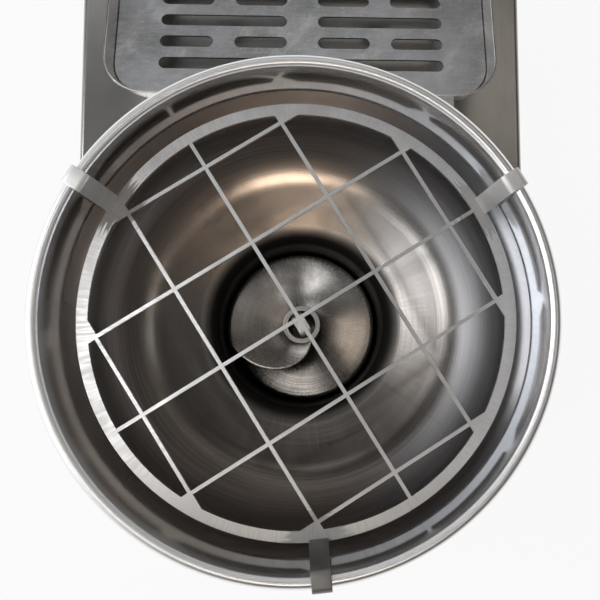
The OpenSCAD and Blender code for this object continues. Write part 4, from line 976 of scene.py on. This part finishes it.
bar_steel = Finish("bar_steel", 1.0, 0.35)
grain = bar_steel.noise(bar_steel.stretch(bar_steel.place(AXIS), BAR_GRAIN), 1.0, 3.0)
bar_steel.set("Base Color", bar_steel.mix(bar_steel.span(grain, 0.3, 0.7), BAR_LIGHT, BAR_DARK))
bar_steel.set("Roughness", bar_steel.span(grain, 0.3, 0.7, 0.38, 0.52))
bar_steel.bump(grain, 0.05 * MM, 0.3)
bar_steel.tell()
bar = softened("lifting_bar", "lift_bar", 0.5 * MM)
wear(bar, bar_steel)
stands_for(bar, "auger", "auger_stainless", "lift_bar")

# %% [markdown]
# ## Sheet steel
# The tray, its plate, the plinth and the housing are brushed sheet, with soft clouds and a fine grain.
# Grain that runs along the length would show as dots on upright faces at the front and back, so those get a
# level one, picked by the surface's direction. Pale smears, specks and scratches come with use, and one
# number says how many: few on the housing, many on the plate.

# %% Sheet finish
SMEAR_TURN = math.radians(35)
SMEAR_SIZE = (34, 18, 30)
SCRATCH_LINES = (24, 900, 24)
SMEAR_TONE = (0.86, 0.86, 0.86)
FRONT_GRAIN = (9, 700, 700)


def face_grain(finish, spot, flat_way):
    """Grain along one way on most faces, and level on upright faces at the front and back."""
    facing = finish.along(finish.add("ShaderNodeTexCoord", {}, "Normal"), "Y")
    to_front = finish.span(finish.math("ABSOLUTE", facing), 0.5, 0.7)
    flat = finish.noise(finish.stretch(spot, flat_way), 1.0, 3.0, 0.65)
    front = finish.noise(finish.stretch(spot, FRONT_GRAIN), 1.0, 3.0, 0.65)
    return finish.math("MULTIPLY_ADD", to_front, finish.math("SUBTRACT", front, flat), flat)


def sheet_finish(name, light, dark, rough, grain_way, smears):
    """Brushed sheet: clouds, grain, pale smears, scratches and bright specks."""
    finish = Finish(name, 1.0, rough)
    spot = finish.place()
    grain = face_grain(finish, spot, grain_way)
    cloud = finish.noise(spot, 9.0, 5.0, 0.65)
    speck = finish.noise(spot, 420.0)
    smear = finish.noise(finish.stretch(finish.place(turn=SMEAR_TURN), SMEAR_SIZE), 1.0, 6.0, 0.7)
    scratch = finish.noise(finish.stretch(finish.place(turn=-SMEAR_TURN), SCRATCH_LINES), 1.0, 1.0)
    lighter = tuple(min(1.0, 1.2 * c) for c in light)
    tone = finish.mix(finish.span(cloud, 0.35, 0.65), light, dark)
    tone = finish.mix(finish.span(grain, 0.35, 0.75, 0.0, 0.4), tone, lighter)
    tone = finish.mix(finish.span(smear, 0.50, 0.72, 0.0, smears), tone, SMEAR_TONE)
    tone = finish.mix(finish.span(scratch, 0.70, 0.78, 0.0, 0.5 * smears), tone, SMEAR_TONE)
    tone = finish.mix(finish.span(speck, 0.64, 0.72, 0.0, smears), tone, SMEAR_TONE)
    finish.set("Base Color", tone)
    finish.set("Roughness", finish.span(smear, 0.4, 0.7, rough - 0.06 * smears, rough + 0.08 * smears))
    finish.bump(finish.math("MULTIPLY_ADD", speck, 0.5, grain), 0.03 * MM, 0.3)
    finish.tell()
    return finish


print("sheet recipe ready; smears lie", round(math.degrees(SMEAR_TURN)), "degrees off the length")

# %% [markdown]
# ## Four sheets
# The same recipe gives four finishes. The housing is even and grey, the plinth is pale and dull, the
# slotted plate is worn most, and the tray's pan is polished. Only tones, gloss, grain and the share of
# smears change.

# %% Four sheets
LENGTHWAYS = (700, 9, 700)
SIDEWAYS = (60, 400, 60)

house_steel = sheet_finish("housing_sheet", light=(0.42, 0.41, 0.395), dark=(0.36, 0.352, 0.338),
                           rough=0.27, grain_way=LENGTHWAYS, smears=0.05)
plinth_steel = sheet_finish("plinth_sheet", light=(0.88, 0.88, 0.90), dark=(0.78, 0.78, 0.79),
                            rough=0.42, grain_way=LENGTHWAYS, smears=0.15)
plate_steel = sheet_finish("tray_sheet", light=(0.62, 0.62, 0.64), dark=(0.38, 0.38, 0.38),
                           rough=0.38, grain_way=SIDEWAYS, smears=0.75)
pan_steel = sheet_finish("pan_sheet", light=(0.84, 0.82, 0.80), dark=(0.72, 0.70, 0.68),
                         rough=0.17, grain_way=SIDEWAYS, smears=0.1)

# %% [markdown]
# ## Tray, plate and plinth
# The tray is a pressed pan with a flare, the slotted plate drops into it, and the plinth is a folded cover.
# Their solids have the right form, so softened copies are enough. The folded cover has the roundest edges
# and gets the widest bevel, and the cut plate gets the narrowest.

# %% Tray, plate and plinth
tray = softened("tray", "tray_pan", 0.5 * MM, degrees=25)
wear(tray, pan_steel)
stands_for(tray, "base", "stainless_sheet", "tray_pan")

tray_plate = softened("tray_plate", "slotted_plate", 0.3 * MM)
wear(tray_plate, plate_steel)
stands_for(tray_plate, "tray_plate", "stainless_sheet", "slotted_plate")

plinth_cover = softened("plinth_cover", "plinth", 1.2 * MM)
wear(plinth_cover, plinth_steel)
stands_for(plinth_cover, "base", "stainless_sheet", "plinth")

# %% [markdown]
# ## Finishes for the rest
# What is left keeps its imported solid: feet, bolts, nozzle, drive, motor and controls. Each gets the finish
# of its material. These are plain materials, so one recipe with two tones, a cloud and a fine bump serves
# them all, and a table gives each its tones, metal share, roughness, grain and bump in millimetres.

# %% Plain finishes
def plain_finish(name, light, dark, metallic, rough, scale, bump):
    """Two tones in soft clouds, with a fine grain in roughness and bump."""
    finish = Finish(name, metallic, rough)
    spot = finish.place()
    cloud = finish.noise(spot, scale, 4.0, 0.6)
    fine = finish.noise(spot, 12 * scale)
    finish.set("Base Color", finish.mix(finish.span(cloud, 0.3, 0.7), light, dark))
    finish.set("Roughness", finish.span(fine, 0.3, 0.7, rough - 0.06, rough + 0.08))
    finish.bump(fine, bump * MM, 0.4)
    return finish


PLAIN = {
    "auger_stainless": ("nozzle_steel", (0.62, 0.61, 0.60), (0.52, 0.51, 0.50), 1.0, 0.26, 60, 0.2),
    "fasteners": ("bolt_steel", (0.62, 0.61, 0.60), (0.50, 0.49, 0.48), 1.0, 0.3, 60, 0.2),
    "machined_steel": ("turned_steel", (0.56, 0.56, 0.56), (0.46, 0.46, 0.46), 1.0, 0.25, 60, 0.2),
    "black_rubber": ("foot_rubber", (0.035, 0.035, 0.035), (0.05, 0.05, 0.05), 0.0, 0.75, 80, 0.4),
    "grey_casting": ("cast_grey", (0.34, 0.36, 0.38), (0.28, 0.30, 0.32), 0.3, 0.55, 70, 0.6),
    "stator_iron": ("core_iron", (0.30, 0.22, 0.16), (0.22, 0.16, 0.12), 0.6, 0.5, 70, 0.3),
    "bronze": ("wheel_bronze", (0.62, 0.44, 0.20), (0.52, 0.36, 0.16), 1.0, 0.35, 70, 0.2),
    "gland_brass": ("gland_plated", (0.60, 0.57, 0.50), (0.50, 0.47, 0.40), 1.0, 0.3, 70, 0.2),
    "bezel_metal": ("bezel_bright", (0.74, 0.74, 0.74), (0.66, 0.66, 0.66), 1.0, 0.2, 70, 0.1),
    "black_plastic": ("knob_black", (0.03, 0.03, 0.03), (0.045, 0.045, 0.045), 0.0, 0.45, 90, 0.3),
    "painted_box": ("box_paint", (0.55, 0.56, 0.58), (0.50, 0.51, 0.53), 0.0, 0.45, 60, 0.3),
    "green_plastic": ("button_green", (0.04, 0.36, 0.09), (0.03, 0.30, 0.07), 0.0, 0.3, 80, 0.2),
    "red_plastic": ("button_red", (0.58, 0.03, 0.03), (0.48, 0.02, 0.02), 0.0, 0.3, 80, 0.2),
}
slot_finish = {slot: plain_finish(*row) for slot, row in PLAIN.items()}
slot_finish["stainless_sheet"] = house_steel
print("plain finishes:", len(PLAIN))

# %% [markdown]
# ## Dressing the imported nodes
# The slot in the part's record picks each finish. Only the barrel, its floor and the gasket differ: they
# stand in the throat under the auger, so they are painted near black, a painted shade, with a dull finish of
# their own.

# %% Imported nodes
# The barrel, its floor and the gasket are painted near black: a painted shade in the throat.
throat_shade_finish = plain_finish("barrel_painted_shade", (0.024, 0.022, 0.02), (0.016, 0.014, 0.013), 0.2, 0.7, 40, 0.1)
IN_THROAT = ("barrel", "barrel_floor", "flange_gasket")
slot_of = {part["node"]: part["material_slot"] for part in frame["record"]["subparts"]}
shown = [name for name, node in nodes.items() if not node.hide_render]
for name in shown:
    wear(nodes[name], throat_shade_finish if name in IN_THROAT else slot_finish[slot_of[name]])
print("finishes set on", len(shown), "packed nodes")
